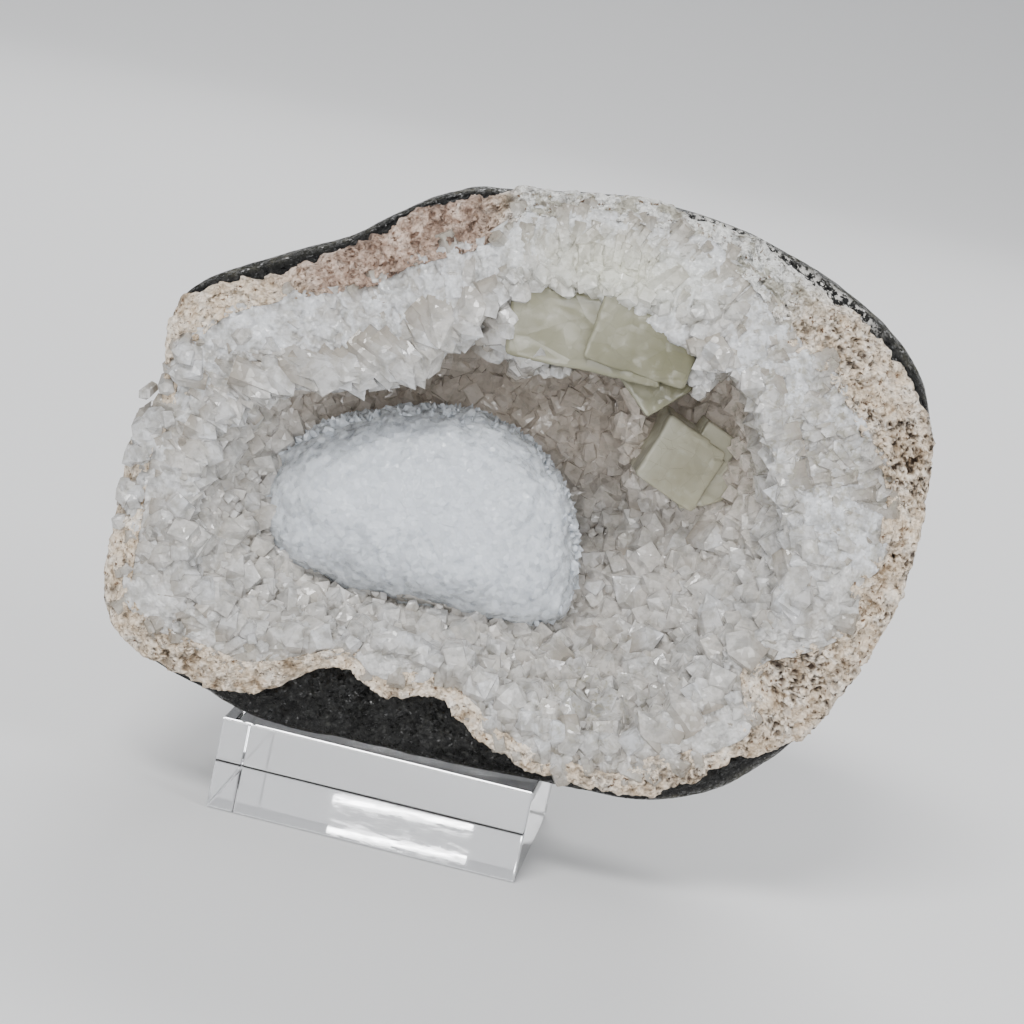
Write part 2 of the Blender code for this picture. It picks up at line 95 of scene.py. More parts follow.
# Outlines on the broken face: degrees from +x towards +z, and millimetres
outlines = {
    "silhouette": [
        (0, 74), (8, 75), (15, 76.3), (22, 78), (27, 78.3), (33, 77), (40, 74), (47, 70.5), (55, 67),
        (65, 63.2), (75, 60.3), (85, 57.5), (95, 56), (102, 56.8), (110, 58), (118, 57.6), (127, 57),
        (135, 57), (142, 60), (150, 64.2), (157, 70.2), (162, 73), (168, 71), (175, 68), (180, 70),
        (185, 73), (192, 73.5), (200, 77), (205, 79.3), (210, 79.5), (216, 76.4), (222, 71.5),
        (228, 68.5), (235, 64.4), (245, 58.2), (255, 54.8), (265, 53.4), (275, 53.4), (285, 55),
        (295, 58.6), (302, 62.2), (308, 65), (314, 67.4), (320, 68.6), (327, 70), (333, 70.5),
        (340, 71), (348, 72), (354, 73),
    ],
    "rind": [
        (0, 72.8), (15, 75.1), (22, 76.6), (27, 75.3), (33, 73), (40, 69.5), (47, 66.5), (55, 64.3),
        (65, 61.4), (75, 59), (85, 56.3), (95, 54.8), (101, 55), (106, 54.2), (112, 55), (120, 54.8),
        (127, 54.2), (135, 54), (142, 56.2), (150, 59.5), (157, 67), (162, 71.4), (168, 69.8),
        (175, 66.8), (180, 68.8), (185, 71.8), (192, 72.3), (200, 75.8), (205, 78), (210, 78.2),
        (216, 74.8), (221, 70.2), (226, 65.5), (229, 60.5), (231.5, 53), (234, 46.6), (237, 44.2),
        (242, 44.6), (248, 44), (255, 41), (260, 39.6), (265, 41.4), (270, 43.8), (274, 45.7),
        (281, 49), (288, 52), (296, 55.8), (301, 59), (305, 61), (310, 62), (314, 63), (318, 62.3),
        (321, 63), (325, 66.2), (330, 68.8), (337, 69.6), (341, 69.9), (348, 70.8), (354, 71.8),
    ],
    "quartz": [
        (0, 68.5), (8, 69.5), (15, 69.8), (19, 68), (22, 65.9), (27, 65), (32, 63.5), (37, 60.4),
        (41, 59), (45, 59.3), (52, 60), (60, 59.3), (67, 58.8), (75, 57.5), (85, 55), (95, 53.6),
        (100, 53.4), (104, 51), (108, 48.6), (113, 47.8), (120, 47.8), (128, 48.6), (135, 48.4),
        (142, 51), (150, 56.3), (155, 60.5), (160, 65), (164, 66.8), (168, 68.3), (175, 65.4),
        (180, 67.4), (185, 70.4), (192, 70.9), (198, 72.4), (203, 75), (207, 76), (210, 75.2),
        (213, 71), (216, 68), (219, 64.7), (223, 62), (226, 57), (229, 50), (232, 46), (235, 43),
        (238, 42.2), (243, 42.6), (247, 42.2), (251, 40), (258, 37.6), (262, 37.8), (266, 39.6),
        (271, 41.7), (277, 45.4), (286, 49.4), (293, 52.4), (298, 55), (302, 57.2), (306, 57),
        (309, 55.8), (312, 58), (316, 59), (321, 60.4), (326, 62.4), (329, 60), (332, 55.5),
        (335, 54), (338, 54.5), (341, 58.4), (344, 61.4), (348, 65.6), (351, 67.4), (355, 66),
        (358, 65.4),
    ],
    "brow": [
        (0, 52), (8, 50), (16, 49), (28, 48), (36, 48.5), (42, 46), (52, 41), (60, 40), (80, 39.5),
        (103, 38), (112, 34.5), (120, 33), (129, 32.6), (141, 31.8), (149, 34.5), (154, 37),
        (164, 46.5), (174, 55), (186, 60), (205, 63), (212, 59), (220, 53), (228, 43), (235, 36),
        (250, 34), (262, 32.5), (270, 35), (278, 38), (288, 42), (298, 48), (308, 50), (328, 50),
        (338, 49), (348, 54),
    ],
    # how far the break lies behind the face at the brow, and further at the outer edge
    "browDip": [
        (0, 1), (60, 0), (120, 0), (150, 1), (175, 3), (190, 3), (210, 1.5), (240, 0), (270, 0),
        (300, 0.5), (330, 1.5),
    ],
    "edgeDip": [
        (0, 3), (45, 6), (75, 7), (95, 6), (120, 4), (150, 3), (180, 3), (210, 2.5), (240, 1.5),
        (270, 1.5), (300, 2), (330, 3),
    ],
    # 1 where the tan rind laps over the rim and reaches the silhouette
    "lap": [
        (0, 1), (18, 1), (25, 0), (70, 0), (76, 1), (100, 1), (105, 0), (160, 0), (165, 1), (213, 1),
        (218, 0), (328, 0), (334, 1),
    ],
    # under 1 the hollow's wall runs straight in like a roof, over 1 it slopes like a floor
    "slope": [
        (0, 1.0), (15, 0.85), (30, 0.6), (60, 0.5), (150, 0.5), (165, 0.7), (180, 1.0), (200, 1.2),
        (230, 1.3), (270, 1.3), (300, 1.2), (330, 1.15), (345, 1.1),
    ],
    # the goosecreekite ball, round its own middle
    "ball": [
        (0, 29.8), (15, 28), (27, 26.3), (52, 23), (70, 21.3), (90, 19.8), (112, 19.4), (130, 20.6),
        (155, 25.6), (172, 29.3), (182, 30.7), (203, 30.4), (214, 28), (228, 23), (254, 19.4),
        (285, 19.4), (300, 21.6), (313, 26), (325, 31), (335, 33.4), (347, 32.2),
    ],
}
softenedOutlines = {}


# the outline's straight runs, sampled every half degree and blurred by a bell curve of 1.3 degrees
def along(name, degrees):
    if name not in softenedOutlines:
        step = np.arange(0, 360, 0.5)
        angle, value = zip(*outlines[name])
        straight = np.interp(step, angle, value, period=360)
        away = np.minimum(step, 360 - step)
        bell = np.exp(-0.5 * (away / 1.3) ** 2)
        blurred = np.fft.ifft(np.fft.fft(straight) * np.fft.fft(bell / bell.sum())).real
        softenedOutlines[name] = (step, blurred)
    return np.interp(degrees, *softenedOutlines[name], period=360)


# a repeatable number from -1 to 1 for each whole-numbered corner of a lattice
def cornerValue(i, j, k, seed):
    mixed = (i * 374761393 + j * 668265263 + k * 1442695041 + seed * 97531) % 4294967296
    mixed = ((mixed ^ (mixed >> 13)) * 1274126177) % 4294967296
    mixed = mixed ^ (mixed >> 16)
    return (mixed % 16777216) / 8388608.0 - 1.0


# values at lattice corners `size` apart, blended between them by an S-curve on each axis
def smoothNoise(p, size, seed=0):
    q = np.asarray(p) / size
    cell = np.floor(q).astype(np.int64)
    f = q - cell
    u = f * f * (3 - 2 * f)
    total = 0.0
    for corner in range(8):
        d = np.array([corner & 1, corner >> 1 & 1, corner >> 2])
        weight = np.prod(np.where(d == 1, u, 1 - u), axis=-1)
        c = cell + d
        total = total + weight * cornerValue(c[..., 0], c[..., 1], c[..., 2], seed)
    return total


# smoothNoise at `size`, then again at half the size and half the height, `octaves` times
def crumbleNoise(p, size, octaves=3, seed=0):
    return sum(smoothNoise(p, size / 2**n, seed + n) / 2**n for n in range(octaves))


# distance, in cells, to the nearest of one random point in each cell of a lattice `size` apart
def cellNoise(p, size, seed=0):
    q = np.asarray(p) / size
    cell = np.floor(q).astype(np.int64)
    nearest = np.full(q.shape[:-1], 9.0)
    for n in range(27):
        c = cell + np.array([n % 3 - 1, n // 3 % 3 - 1, n // 9 - 1])
        spot = np.stack([cornerValue(c[..., 0], c[..., 1], c[..., 2], seed + m) for m in range(3)], -1)
        nearest = np.minimum(nearest, np.linalg.norm(c + 0.5 + spot * 0.5 - q, axis=-1))
    return nearest


# each cell of a lattice is one small tilted plane: a random slope times the way from its own middle
def facetNoise(p, size, seed=0):
    q = np.asarray(p) / size
    cell = np.floor(q).astype(np.int64)
    nearest = np.full(q.shape[:-1], 9.0)
    height = np.zeros(q.shape[:-1])
    for n in range(27):
        c = cell + np.array([n % 3 - 1, n // 3 % 3 - 1, n // 9 - 1])
        value = np.stack([cornerValue(c[..., 0], c[..., 1], c[..., 2], seed + m) for m in range(7)], -1)
        away = q - (c + 0.5 + value[..., :3] * 0.5)
        distance = np.linalg.norm(away, axis=-1)
        plane = (away * value[..., 3:6]).sum(-1) + value[..., 6] * 0.4
        height = np.where(distance < nearest, plane, height)
        nearest = np.minimum(nearest, distance)
    return height


# layers of noise added up: each is a kind of noise, what it is called with and its height
def relief(p, layers):
    return sum(kind(p, *settings) * height for kind, settings, height in layers)


def smoothStep(low, high, value):
    t = np.clip((value - low) / (high - low), 0, 1)
    return t * t * (3 - 2 * t)


# 0, rising to 1 between the first two limits and falling back to 0 between the last two
def within(value, rise, full, fall, gone):
    return smoothStep(rise, full, value) * (1 - smoothStep(fall, gone, value))


def unit(v):
    return v / np.maximum(np.linalg.norm(v, axis=-1, keepdims=True), 1e-9)


noTriangles = np.zeros((0, 3), dtype=int)


# puts points and faces, as whole arrays, in a new object; attributes are one number per point
def meshObject(name, points, quads, triangles, finish, smooth=True, attributes=None):
    corners = np.concatenate([quads.ravel(), triangles.ravel()]).astype(np.int32)
    quadStarts = np.arange(len(quads)) * 4
    starts = np.concatenate([quadStarts, len(quads) * 4 + np.arange(len(triangles)) * 3])
    mesh = bpy.data.meshes.new(name)
    mesh.vertices.add(len(points))
    mesh.vertices.foreach_set("co", points.astype(np.float32).ravel())
    mesh.loops.add(len(corners))
    mesh.loops.foreach_set("vertex_index", corners)
    mesh.polygons.add(len(starts))
    mesh.polygons.foreach_set("loop_start", starts.astype(np.int32))
    mesh.polygons.foreach_set("use_smooth", np.full(len(starts), smooth))
    mesh.update(calc_edges=True)
    for key, values in (attributes or {}).items():
        made = mesh.attributes.new(key, "FLOAT", "POINT")
        made.data.foreach_set("value", np.asarray(values, dtype=np.float32).ravel())
    mesh.validate()
    made = bpy.data.objects.new(name, mesh)
    mesh.materials.append(finish)
    bpy.context.scene.collection.objects.link(made)
    print(name, len(quads) * 2 + len(triangles), "triangles")
    return made


# faces of a sheet of rows x columns points whose columns wrap round; with `closed` its rows do too
def wrappedQuads(rows, columns, closed=False):
    row = np.arange(rows if closed else rows - 1)[:, None]
    column = np.arange(columns)[None, :]
    after = (column + 1) % columns
    above = (row + 1) % rows
    quads = np.stack([row * columns + column, row * columns + after,
                      above * columns + after, above * columns + column], -1)
    return quads.reshape(-1, 4)


# turns faces to look outward, judged by the sign of the volume that the first of them closes
def outward(points, *faces):
    a, b, c = (points[faces[0][:, n]] for n in (0, 1, 2))
    inside = np.einsum("ij,ij->i", a, np.cross(b, c)).sum() < 0
    return [sheet[:, ::-1] if inside else sheet for sheet in faces]


# rows x columns points with a pole after each end: the points, the quads and a fan round each pole
def capped(points, firstPole, lastPole):
    rows, columns = points.shape[:2]
    column = np.arange(columns)
    after = (column + 1) % columns
    pole, end = np.full(columns, rows * columns), (rows - 1) * columns
    fans = np.concatenate([np.stack([pole, after, column], -1),
                           np.stack([pole + 1, end + column, end + after], -1)])
    everyPoint = np.concatenate([points.reshape(-1, 3), [firstPole, lastPole]])
    return everyPoint, wrappedQuads(rows, columns), fans


# a bowl: rows x columns points whose first and last rows close on poles of their own
def bowl(name, points, firstPole, lastPole, finish, attributes=None):
    everyPoint, quads, fans = capped(points, firstPole, lastPole)
    quads, fans = outward(everyPoint, quads, fans)
    padded = {k: np.concatenate([v.ravel(), [v.ravel()[0], v.ravel()[-1]]])
              for k, v in (attributes or {}).items()}
    return meshObject(name, placed(everyPoint), quads, fans, finish, True, padded)


# a ring: rows x columns points that wrap round both ways
def ringBody(name, points, finish, attributes):
    flatPoints = points.reshape(-1, 3)
    quads, = outward(flatPoints, wrappedQuads(*points.shape[:2], True))
    return meshObject(name, placed(flatPoints), quads, noTriangles, finish, True, attributes)


# depth of the broken surface: level at the brow, dropping back as the square of the way out
def breakDepth(degrees, radius):
    brow, edge = along("brow", degrees), along("silhouette", degrees)
    across = np.clip((radius - brow) / (edge - brow), 0, 1)
    return along("browDip", degrees) + along("edgeDip", degrees) * across**2


# depth at which rind and basalt meet behind the break: further back where the rind laps over the rim
def rimFront(degrees):
    return breakDepth(degrees, along("silhouette", degrees)) + 1.5 + 3 * along("lap", degrees)


# even angles all the way round the face, in degrees
def anglesRound(columns):
    return np.arange(columns) * 360 / columns


# points at a radius and angle round the face axis, at a depth behind the face
def ringPoints(degrees, radius, depth):
    angle = np.radians(degrees)
    radius, depth = np.broadcast_arrays(radius, depth)
    return np.stack([radius * np.cos(angle), depth, radius * np.sin(angle)], -1)


# hidden wall between two layers: radius falls as a power of the cosine, depth grows as the sine
def liningRows(degrees, outline, front, back, inset):
    radius = along(outline, degrees)
    far = np.minimum(radius, along("silhouette", degrees) * 0.86)
    rows = []
    for turn in np.radians([5, 17, 30, 44, 58, 72, 83]):
        reach = radius + (far - radius) * math.sin(turn)
        rows.append(ringPoints(degrees, (reach - inset) * math.cos(turn) ** 0.62,
                               front + (back - inset - front) * math.sin(turn)))
    return np.array(rows)


# the flat underside: points that would lie lower than the block's top are lifted to it
def clearOfBlock(p):
    lean = math.radians(stone["lean"])
    height = stone["faceHeight"] + p[..., 2] * math.cos(lean) - p[..., 1] * math.sin(lean)
    lifted = p.copy()
    lifted[..., 2] += np.maximum(stone["underside"] - height, 0) / math.cos(lean)
    return lifted


# Materials


def newMaterial(name):
    made = bpy.data.materials.new(name)
    made.use_nodes = True
    tree = made.node_tree
    return made, tree, tree.nodes["Principled BSDF"]


# feeds a node's input: the output of another node is linked to it, and a plain value is set
def feed(target, value):
    if isinstance(value, bpy.types.NodeSocket):
        target.id_data.links.new(value, target)
    else:
        target.default_value = value


# a new node; an input goes by its name, or by i and its number where names repeat
def addNode(tree, kind, settings=None, **inputs):
    node = tree.nodes.new(kind)
    for key, value in (settings or {}).items():
        setattr(node, key, value)
    for key, value in inputs.items():
        numbered = key[0] == "i" and key[1:].isdigit()
        feed(node.inputs[int(key[1:]) if numbered else key], value)
    return node


def noiseTexture(tree, place, scale, detail=4.0, roughness=0.6):
    return addNode(tree, "ShaderNodeTexNoise", None, Vector=place, Scale=scale, Detail=detail,
                   Roughness=roughness).outputs["Fac"]


def ramp(tree, value, stops):
    node = addNode(tree, "ShaderNodeValToRGB", None, Fac=value)
    elements = node.color_ramp.elements
    while len(elements) < len(stops):
        elements.new(0.5)
    for element, (position, colour) in zip(elements, stops):
        element.position = position
        element.color = (*colour, 1.0)
    return node.outputs["Color"]


def greyRamp(tree, value, low, high, first=0.0, second=1.0):
    return addNode(tree, "ShaderNodeMapRange", None, Value=value, i1=low, i2=high, i3=first,
                   i4=second).outputs["Result"]


# the noise of a look, mapped by its range
def ranged(tree, place, look, name, *ends):
    return greyRamp(tree, noiseTexture(tree, place, *look[name]), *look[name + "Range"], *ends)


def calculated(tree, operation, first, second):
    return addNode(tree, "ShaderNodeMath", {"operation": operation}, i0=first, i1=second).outputs[0]


def mixColour(tree, share, first, second):
    first, second = ((*colour, 1.0) if isinstance(colour, tuple) else colour for colour in (first, second))
    return addNode(tree, "ShaderNodeMix", {"data_type": "RGBA"}, i0=share, i6=first, i7=second).outputs[2]


def attributeValues(tree, *names):
    return [addNode(tree, "ShaderNodeAttribute", {"attribute_name": name}).outputs["Fac"] for name in names]


def objectPlace(tree):
    return tree.nodes.new("ShaderNodeTexCoord").outputs["Object"]


# bump height, in metres, of cells `size` apart that each lie at a slope of their own
def facetHeight(tree, place, size, slope):
    cells = addNode(tree, "ShaderNodeTexVoronoi", None, Vector=place, Scale=1 / size)
    away = addNode(tree, "ShaderNodeVectorMath", {"operation": "SUBTRACT"}, i0=place,
                   i1=cells.outputs["Position"])
    tilt = addNode(tree, "ShaderNodeVectorMath", {"operation": "SUBTRACT"}, i0=cells.outputs["Color"],
                   i1=(0.5, 0.5, 0.5))
    rise = addNode(tree, "ShaderNodeVectorMath", {"operation": "DOT_PRODUCT"}, i0=away.outputs[0],
                   i1=tilt.outputs[0])
    return calculated(tree, "MULTIPLY", rise.outputs["Value"], slope * 2)


def setShader(shader, **values):
    for key, value in values.items():
        feed(shader.inputs[key.replace("_", " ")], value)


# bump of two sizes of tilted cells added up: size and slope, then the second size and slope
def facetBump(tree, shader, place, size, slope, secondSize, secondSlope):
    height = calculated(tree, "ADD", facetHeight(tree, place, size, slope),
                        facetHeight(tree, place, secondSize, secondSlope))
    node = addNode(tree, "ShaderNodeBump", None, Height=height, Strength=1.0, Distance=1.0)
    setShader(shader, Normal=node.outputs["Normal"])


# In the looks below a noise is its scale per metre, its detail and its roughness. A range is two noise
# values and, where they aren't 0 and 1, what they become. Facets are sizes in metres, each with a slope.
quartzLook = {
    "milk": (0.64, 0.652, 0.67),
    "warm": (0.60, 0.573, 0.535),
    # root: painted shade, the brown that the feet of crystals and the dips between them take
    "root": (0.30, 0.268, 0.225),
    "grey": (0.36, 0.355, 0.34),
    # the recess colour: painted shade in the deep parts under the roof
    "recessShadeColour": (0.66, 0.57, 0.48),
    "dirt": (0.36, 0.34, 0.28),
    "green": (0.80, 0.80, 0.67),
    "cloud": (330, 3.0),
    "cloudRange": (0.45, 0.62, 0.0, 0.8),
    "speck": (620, 3.0, 0.7),
    "speckRange": (0.50, 0.63),
    "frost": (700, 2.0),
    "frostRange": (0.3, 0.7),
}


# milky quartz: whiter tips, painted shade that browns the roots and the recesses, and dark flecks where
# `dirt` is high
def quartzMaterial(name, facets, roughness):
    look = quartzLook
    made, tree, shader = newMaterial(name)
    place = objectPlace(tree)
    tip, tone, recess, dirt, green = attributeValues(tree, "tip", "tone", "recess", "dirt", "green")
    cloud = ranged(tree, place, look, "cloud")
    toned = mixColour(tree, cloud, mixColour(tree, tone, look["milk"], look["warm"]), look["grey"])
    # painted shade: the lower the tip attribute, the more of the brown root colour
    rootShaded = mixColour(tree, tip, look["root"], toned)
    tinted = mixColour(tree, green, mixColour(tree, recess, rootShaded, look["recessShadeColour"]), look["green"])
    specks = calculated(tree, "MULTIPLY", ranged(tree, place, look, "speck"), dirt)
    setShader(shader, Base_Color=mixColour(tree, specks, tinted, look["dirt"]),
              Roughness=ranged(tree, place, look, "frost", *roughness), IOR=1.54)
    facetBump(tree, shader, place, *facets)
    return made


goosecreekiteLook = {
    "dark": (0.60, 0.645, 0.70),
    "light": (0.69, 0.725, 0.765),
    "cloud": (90, 4.0),
    "frost": (900, 2.0),
    "frostRange": (0.35, 0.65, 0.1, 0.5),
    "glowReach": (1.0, 1.0, 1.1),  # how far each colour of light spreads, times 4 mm
    "facets": (0.0011, 0.34, 0.004, 0.16),
}


# satin blue-white, with light that spreads under the surface as far as `glow` says
def goosecreekiteMaterial(name, glow):
    look = goosecreekiteLook
    made, tree, shader = newMaterial(name)
    place = objectPlace(tree)
    cloud = noiseTexture(tree, place, *look["cloud"])
    setShader(shader, Base_Color=mixColour(tree, cloud, look["dark"], look["light"]),
              Roughness=ranged(tree, place, look, "frost"), IOR=1.5, Subsurface_Weight=glow,
              Subsurface_Radius=look["glowReach"], Subsurface_Scale=0.004)
    facetBump(tree, shader, place, *look["facets"])
    return made


calciteLook = {
    "cloud": (75, 4.0, 0.5),
    "cloudRange": (0.36, 0.62),
    "veil": (300, 4.0, 0.6),
    "veilRange": (0.58, 0.74, 0.0, 0.7),
    "veilWhite": 0.15,  # share of white in the veils
    "clear": 0.4,  # share of the light that passes through
    "facets": (0.008, 0.09, 0.003, 0.04),
}


# waxy and half clear: soft clouds from dark to light, with paler veils
def calciteMaterial(name, dark, light):
    look = calciteLook
    made, tree, shader = newMaterial(name)
    place = objectPlace(tree)
    cloud, veil = ranged(tree, place, look, "cloud"), ranged(tree, place, look, "veil")
    white = look["veilWhite"]
    pale = tuple(white + (1 - white) * channel for channel in light)
    waxy = mixColour(tree, veil, mixColour(tree, cloud, dark, light), pale)
    setShader(shader, Base_Color=waxy, Roughness=0.24, IOR=1.5, Transmission_Weight=look["clear"])
    facetBump(tree, shader, place, *look["facets"])
    return made


basaltLook = {
    "grain": (900, 3.0),
    "black": [(0.35, (0.004, 0.004, 0.004)), (0.6, (0.014, 0.014, 0.013)), (0.8, (0.05, 0.05, 0.045))],
    "weather": (420, 5.0, 0.75),
    "olive": [(0.35, (0.008, 0.008, 0.007)), (0.52, (0.030, 0.029, 0.022)), (0.72, (0.15, 0.14, 0.105))],
    "fleck": (800, 4.0, 0.7),
    "fleckRange": (0.50, 0.54),
    "fleckColour": (0.72, 0.70, 0.66),
    "gloss": (1500, 2.0),
    "glossRange": (0.42, 0.6, 0.16, 0.75),
    "facets": (0.0016, 0.45, 0.0006, 0.55),
}


# fresh black where it is broken, olive where it is weathered skin, and white flecks at the upper right
def basaltMaterial():
    look = basaltLook
    made, tree, shader = newMaterial("basalt")
    place = objectPlace(tree)
    skin, fleck = attributeValues(tree, "skin", "fleck")
    black = ramp(tree, noiseTexture(tree, place, *look["grain"]), look["black"])
    olive = ramp(tree, noiseTexture(tree, place, *look["weather"]), look["olive"])
    flecks = calculated(tree, "MULTIPLY", ranged(tree, place, look, "fleck"), fleck)
    flecked = mixColour(tree, flecks, mixColour(tree, skin, black, olive), look["fleckColour"])
    setShader(shader, Base_Color=flecked, Roughness=ranged(tree, place, look, "gloss"),
              Specular_IOR_Level=0.26)
    facetBump(tree, shader, place, *look["facets"])
    return made


rindLook = {
    "patch": (240, 5.0, 0.7),
    "tan": [(0.34, (0.40, 0.30, 0.20)), (0.47, (0.84, 0.70, 0.54)), (0.60, (0.95, 0.85, 0.72)),
            (0.74, (0.96, 0.93, 0.87))],
    "rose": [(0.34, (0.15, 0.10, 0.075)), (0.47, (0.44, 0.31, 0.24)), (0.60, (0.74, 0.58, 0.48)),
             (0.74, (0.88, 0.79, 0.70))],
    "chalkRange": (0.42, 0.5),
    "chalk": ((0.45, 0.43, 0.36), (0.82, 0.82, 0.79)),
    "speck": (900, 3.0, 0.7),
    "speckRange": (0.58, 0.66),
    "speckColour": (0.16, 0.10, 0.06),
    # near-black painted shade for the pits
    "pitShadeColour": (0.07, 0.045, 0.03),
    "facets": (0.0012, 0.7, 0.0005, 0.6),
}


# patchy tan, rose where `pink` is high and chalky where `white` is, with dark specks, and painted shade that
# darkens the pits
def rindMaterial():
    look = rindLook
    made, tree, shader = newMaterial("altered rock")
    place = objectPlace(tree)
    pit, pink, white = attributeValues(tree, "pit", "pink", "white")
    patch = noiseTexture(tree, place, *look["patch"])
    body = mixColour(tree, pink, ramp(tree, patch, look["tan"]), ramp(tree, patch, look["rose"]))
    chalk = mixColour(tree, greyRamp(tree, patch, *look["chalkRange"]), *look["chalk"])
    whitened = mixColour(tree, white, body, chalk)
    specked = mixColour(tree, ranged(tree, place, look, "speck"), whitened, look["speckColour"])
    setShader(shader, Base_Color=mixColour(tree, pit, specked, look["pitShadeColour"]), Roughness=0.85, IOR=1.45)
    facetBump(tree, shader, place, *look["facets"])
    return made


acrylicLook = {
    "tint": (0.96, 0.965, 0.98, 1.0),
    "scratch": (160, 5.0, 0.7),
    "scratchRange": (0.4, 0.7, 0.0, 0.06),
}


# clear and polished, with faint scratches that roughen it a little
def acrylicMaterial():
    made, tree, shader = newMaterial("acrylic")
    scratch = ranged(tree, objectPlace(tree), acrylicLook, "scratch")
    setShader(shader, Base_Color=acrylicLook["tint"], Roughness=scratch, IOR=1.49, Transmission_Weight=1.0)
    return made


def plainMaterial(name, colour, roughness):
    made, _, shader = newMaterial(name)
    setShader(shader, Base_Color=(*colour, 1.0), Roughness=roughness)
    return made


# Basalt

basaltShape = {
    "columns": 700,
    "rimRows": 22,
    "edgeRows": 10,
    "backRows": 54,
    "blackBand": 3.0,  # how much of the skin shows outside the broken rim
    "rimRoughness": 0.9,
    "rimLayers": [(crumbleNoise, (7, 3, 3), 0.8), (facetNoise, (4.5, 6), 0.9)],
    "rimFine": [(facetNoise, (1.6, 9), 0.4)],
    "under": 1.0,  # how far the rim runs in under the rind
    "swell": 1.2,
    "skinGrain": 0.22,
}


# one sheet from the lining's pole out over the broken rim and round the skin to the back pole
def makeBasalt(finish):
    shape = basaltShape
    degrees = anglesRound(shape["columns"])
    lining = along("rind", degrees)
    outside = along("silhouette", degrees)
    lap = along("lap", degrees)
    edge = np.maximum(lining + 0.6, outside - shape["blackBand"] * (1 - lap))
    front = rimFront(degrees)
    inner = liningRows(degrees, "rind", front, stone["basaltLining"], -0.15)[::-1]
    across = np.linspace(0, 1, shape["rimRows"])[:, None]
    radius = lining - shape["under"] + (edge - lining + shape["under"]) * across
    rim = ringPoints(degrees, radius, front - 0.9 * (1 - lap) * (1 - across) + 0.8 * across**4)
    width = np.clip((edge - lining) / 8, 0.35, 1.6)
    bumps = relief(rim, shape["rimLayers"]) * width + relief(rim, shape["rimFine"])
    rim[..., 1] += bumps * shape["rimRoughness"] * np.sin(np.pi * np.clip(across, 0.1, 0.9))
    turn = np.radians(np.linspace(0, 90, shape["edgeRows"] + 1)[1:])[:, None]
    start = rim[-1, :, 1]
    corner = ringPoints(degrees, edge + (outside - edge) * np.sin(turn),
                        start + (stone["widest"] - start) * (1 - np.cos(turn)))
    turn = np.radians(np.linspace(0, 88, shape["backRows"] + 1)[1:])[:, None]
    depth = stone["widest"] + (stone["basaltBack"] - stone["widest"]) * np.sin(turn)
    back = ringPoints(degrees, outside * np.cos(turn) ** 0.58, depth)
    skin = np.concatenate([corner, back])
    away = unit(skin - np.array([0.0, 25.0, 0.0]))
    fade = np.clip(np.arange(len(skin)) / shape["edgeRows"], 0, 1)[:, None]
    push = (smoothNoise(skin, 26, 1) - 0.6) * shape["swell"] * fade
    push += (crumbleNoise(skin, 5, 4, 5) - 0.2) * shape["skinGrain"] * (0.4 + 0.6 * fade)
    skin = clearOfBlock(skin + away * push[..., None])
    points = np.concatenate([inner, rim, skin])
    mask = np.zeros(points.shape[:2])
    mask[len(inner) + len(rim):] = np.clip(np.arange(len(skin)) / 4, 0, 1)[:, None]
    band = within(degrees, 34, 40, 66, 76)
    fleck = np.broadcast_to(band, mask.shape) * (1 - mask) * 0.8
    inPole = (0.0, stone["basaltLining"], 0.0)
    outPole = (0.0, float(back[-1, :, 1].mean()), 0.0)
    return bowl("basaltMatrix", points, inPole, outPole, finish, {"skin": mask, "fleck": fleck})


# Altered rind

rindShape = {
    "columns": 1250,
    "rows": 42,
    "crumb": 1.15,
    "ragged": 0.9,
    "layers": [(crumbleNoise, (4.0, 2, 21), 0.9), (facetNoise, (1.9, 25), 1), (facetNoise, (0.8, 26), 0.5)],
    "shake": 0.35,  # how far points move sideways, so that no two grains line up
    "pitSize": 2.3,
    "smallPitSize": 1.2,
    "pitDepth": 1.3,
    "under": 2.4,  # how far the band runs in under the quartz
}


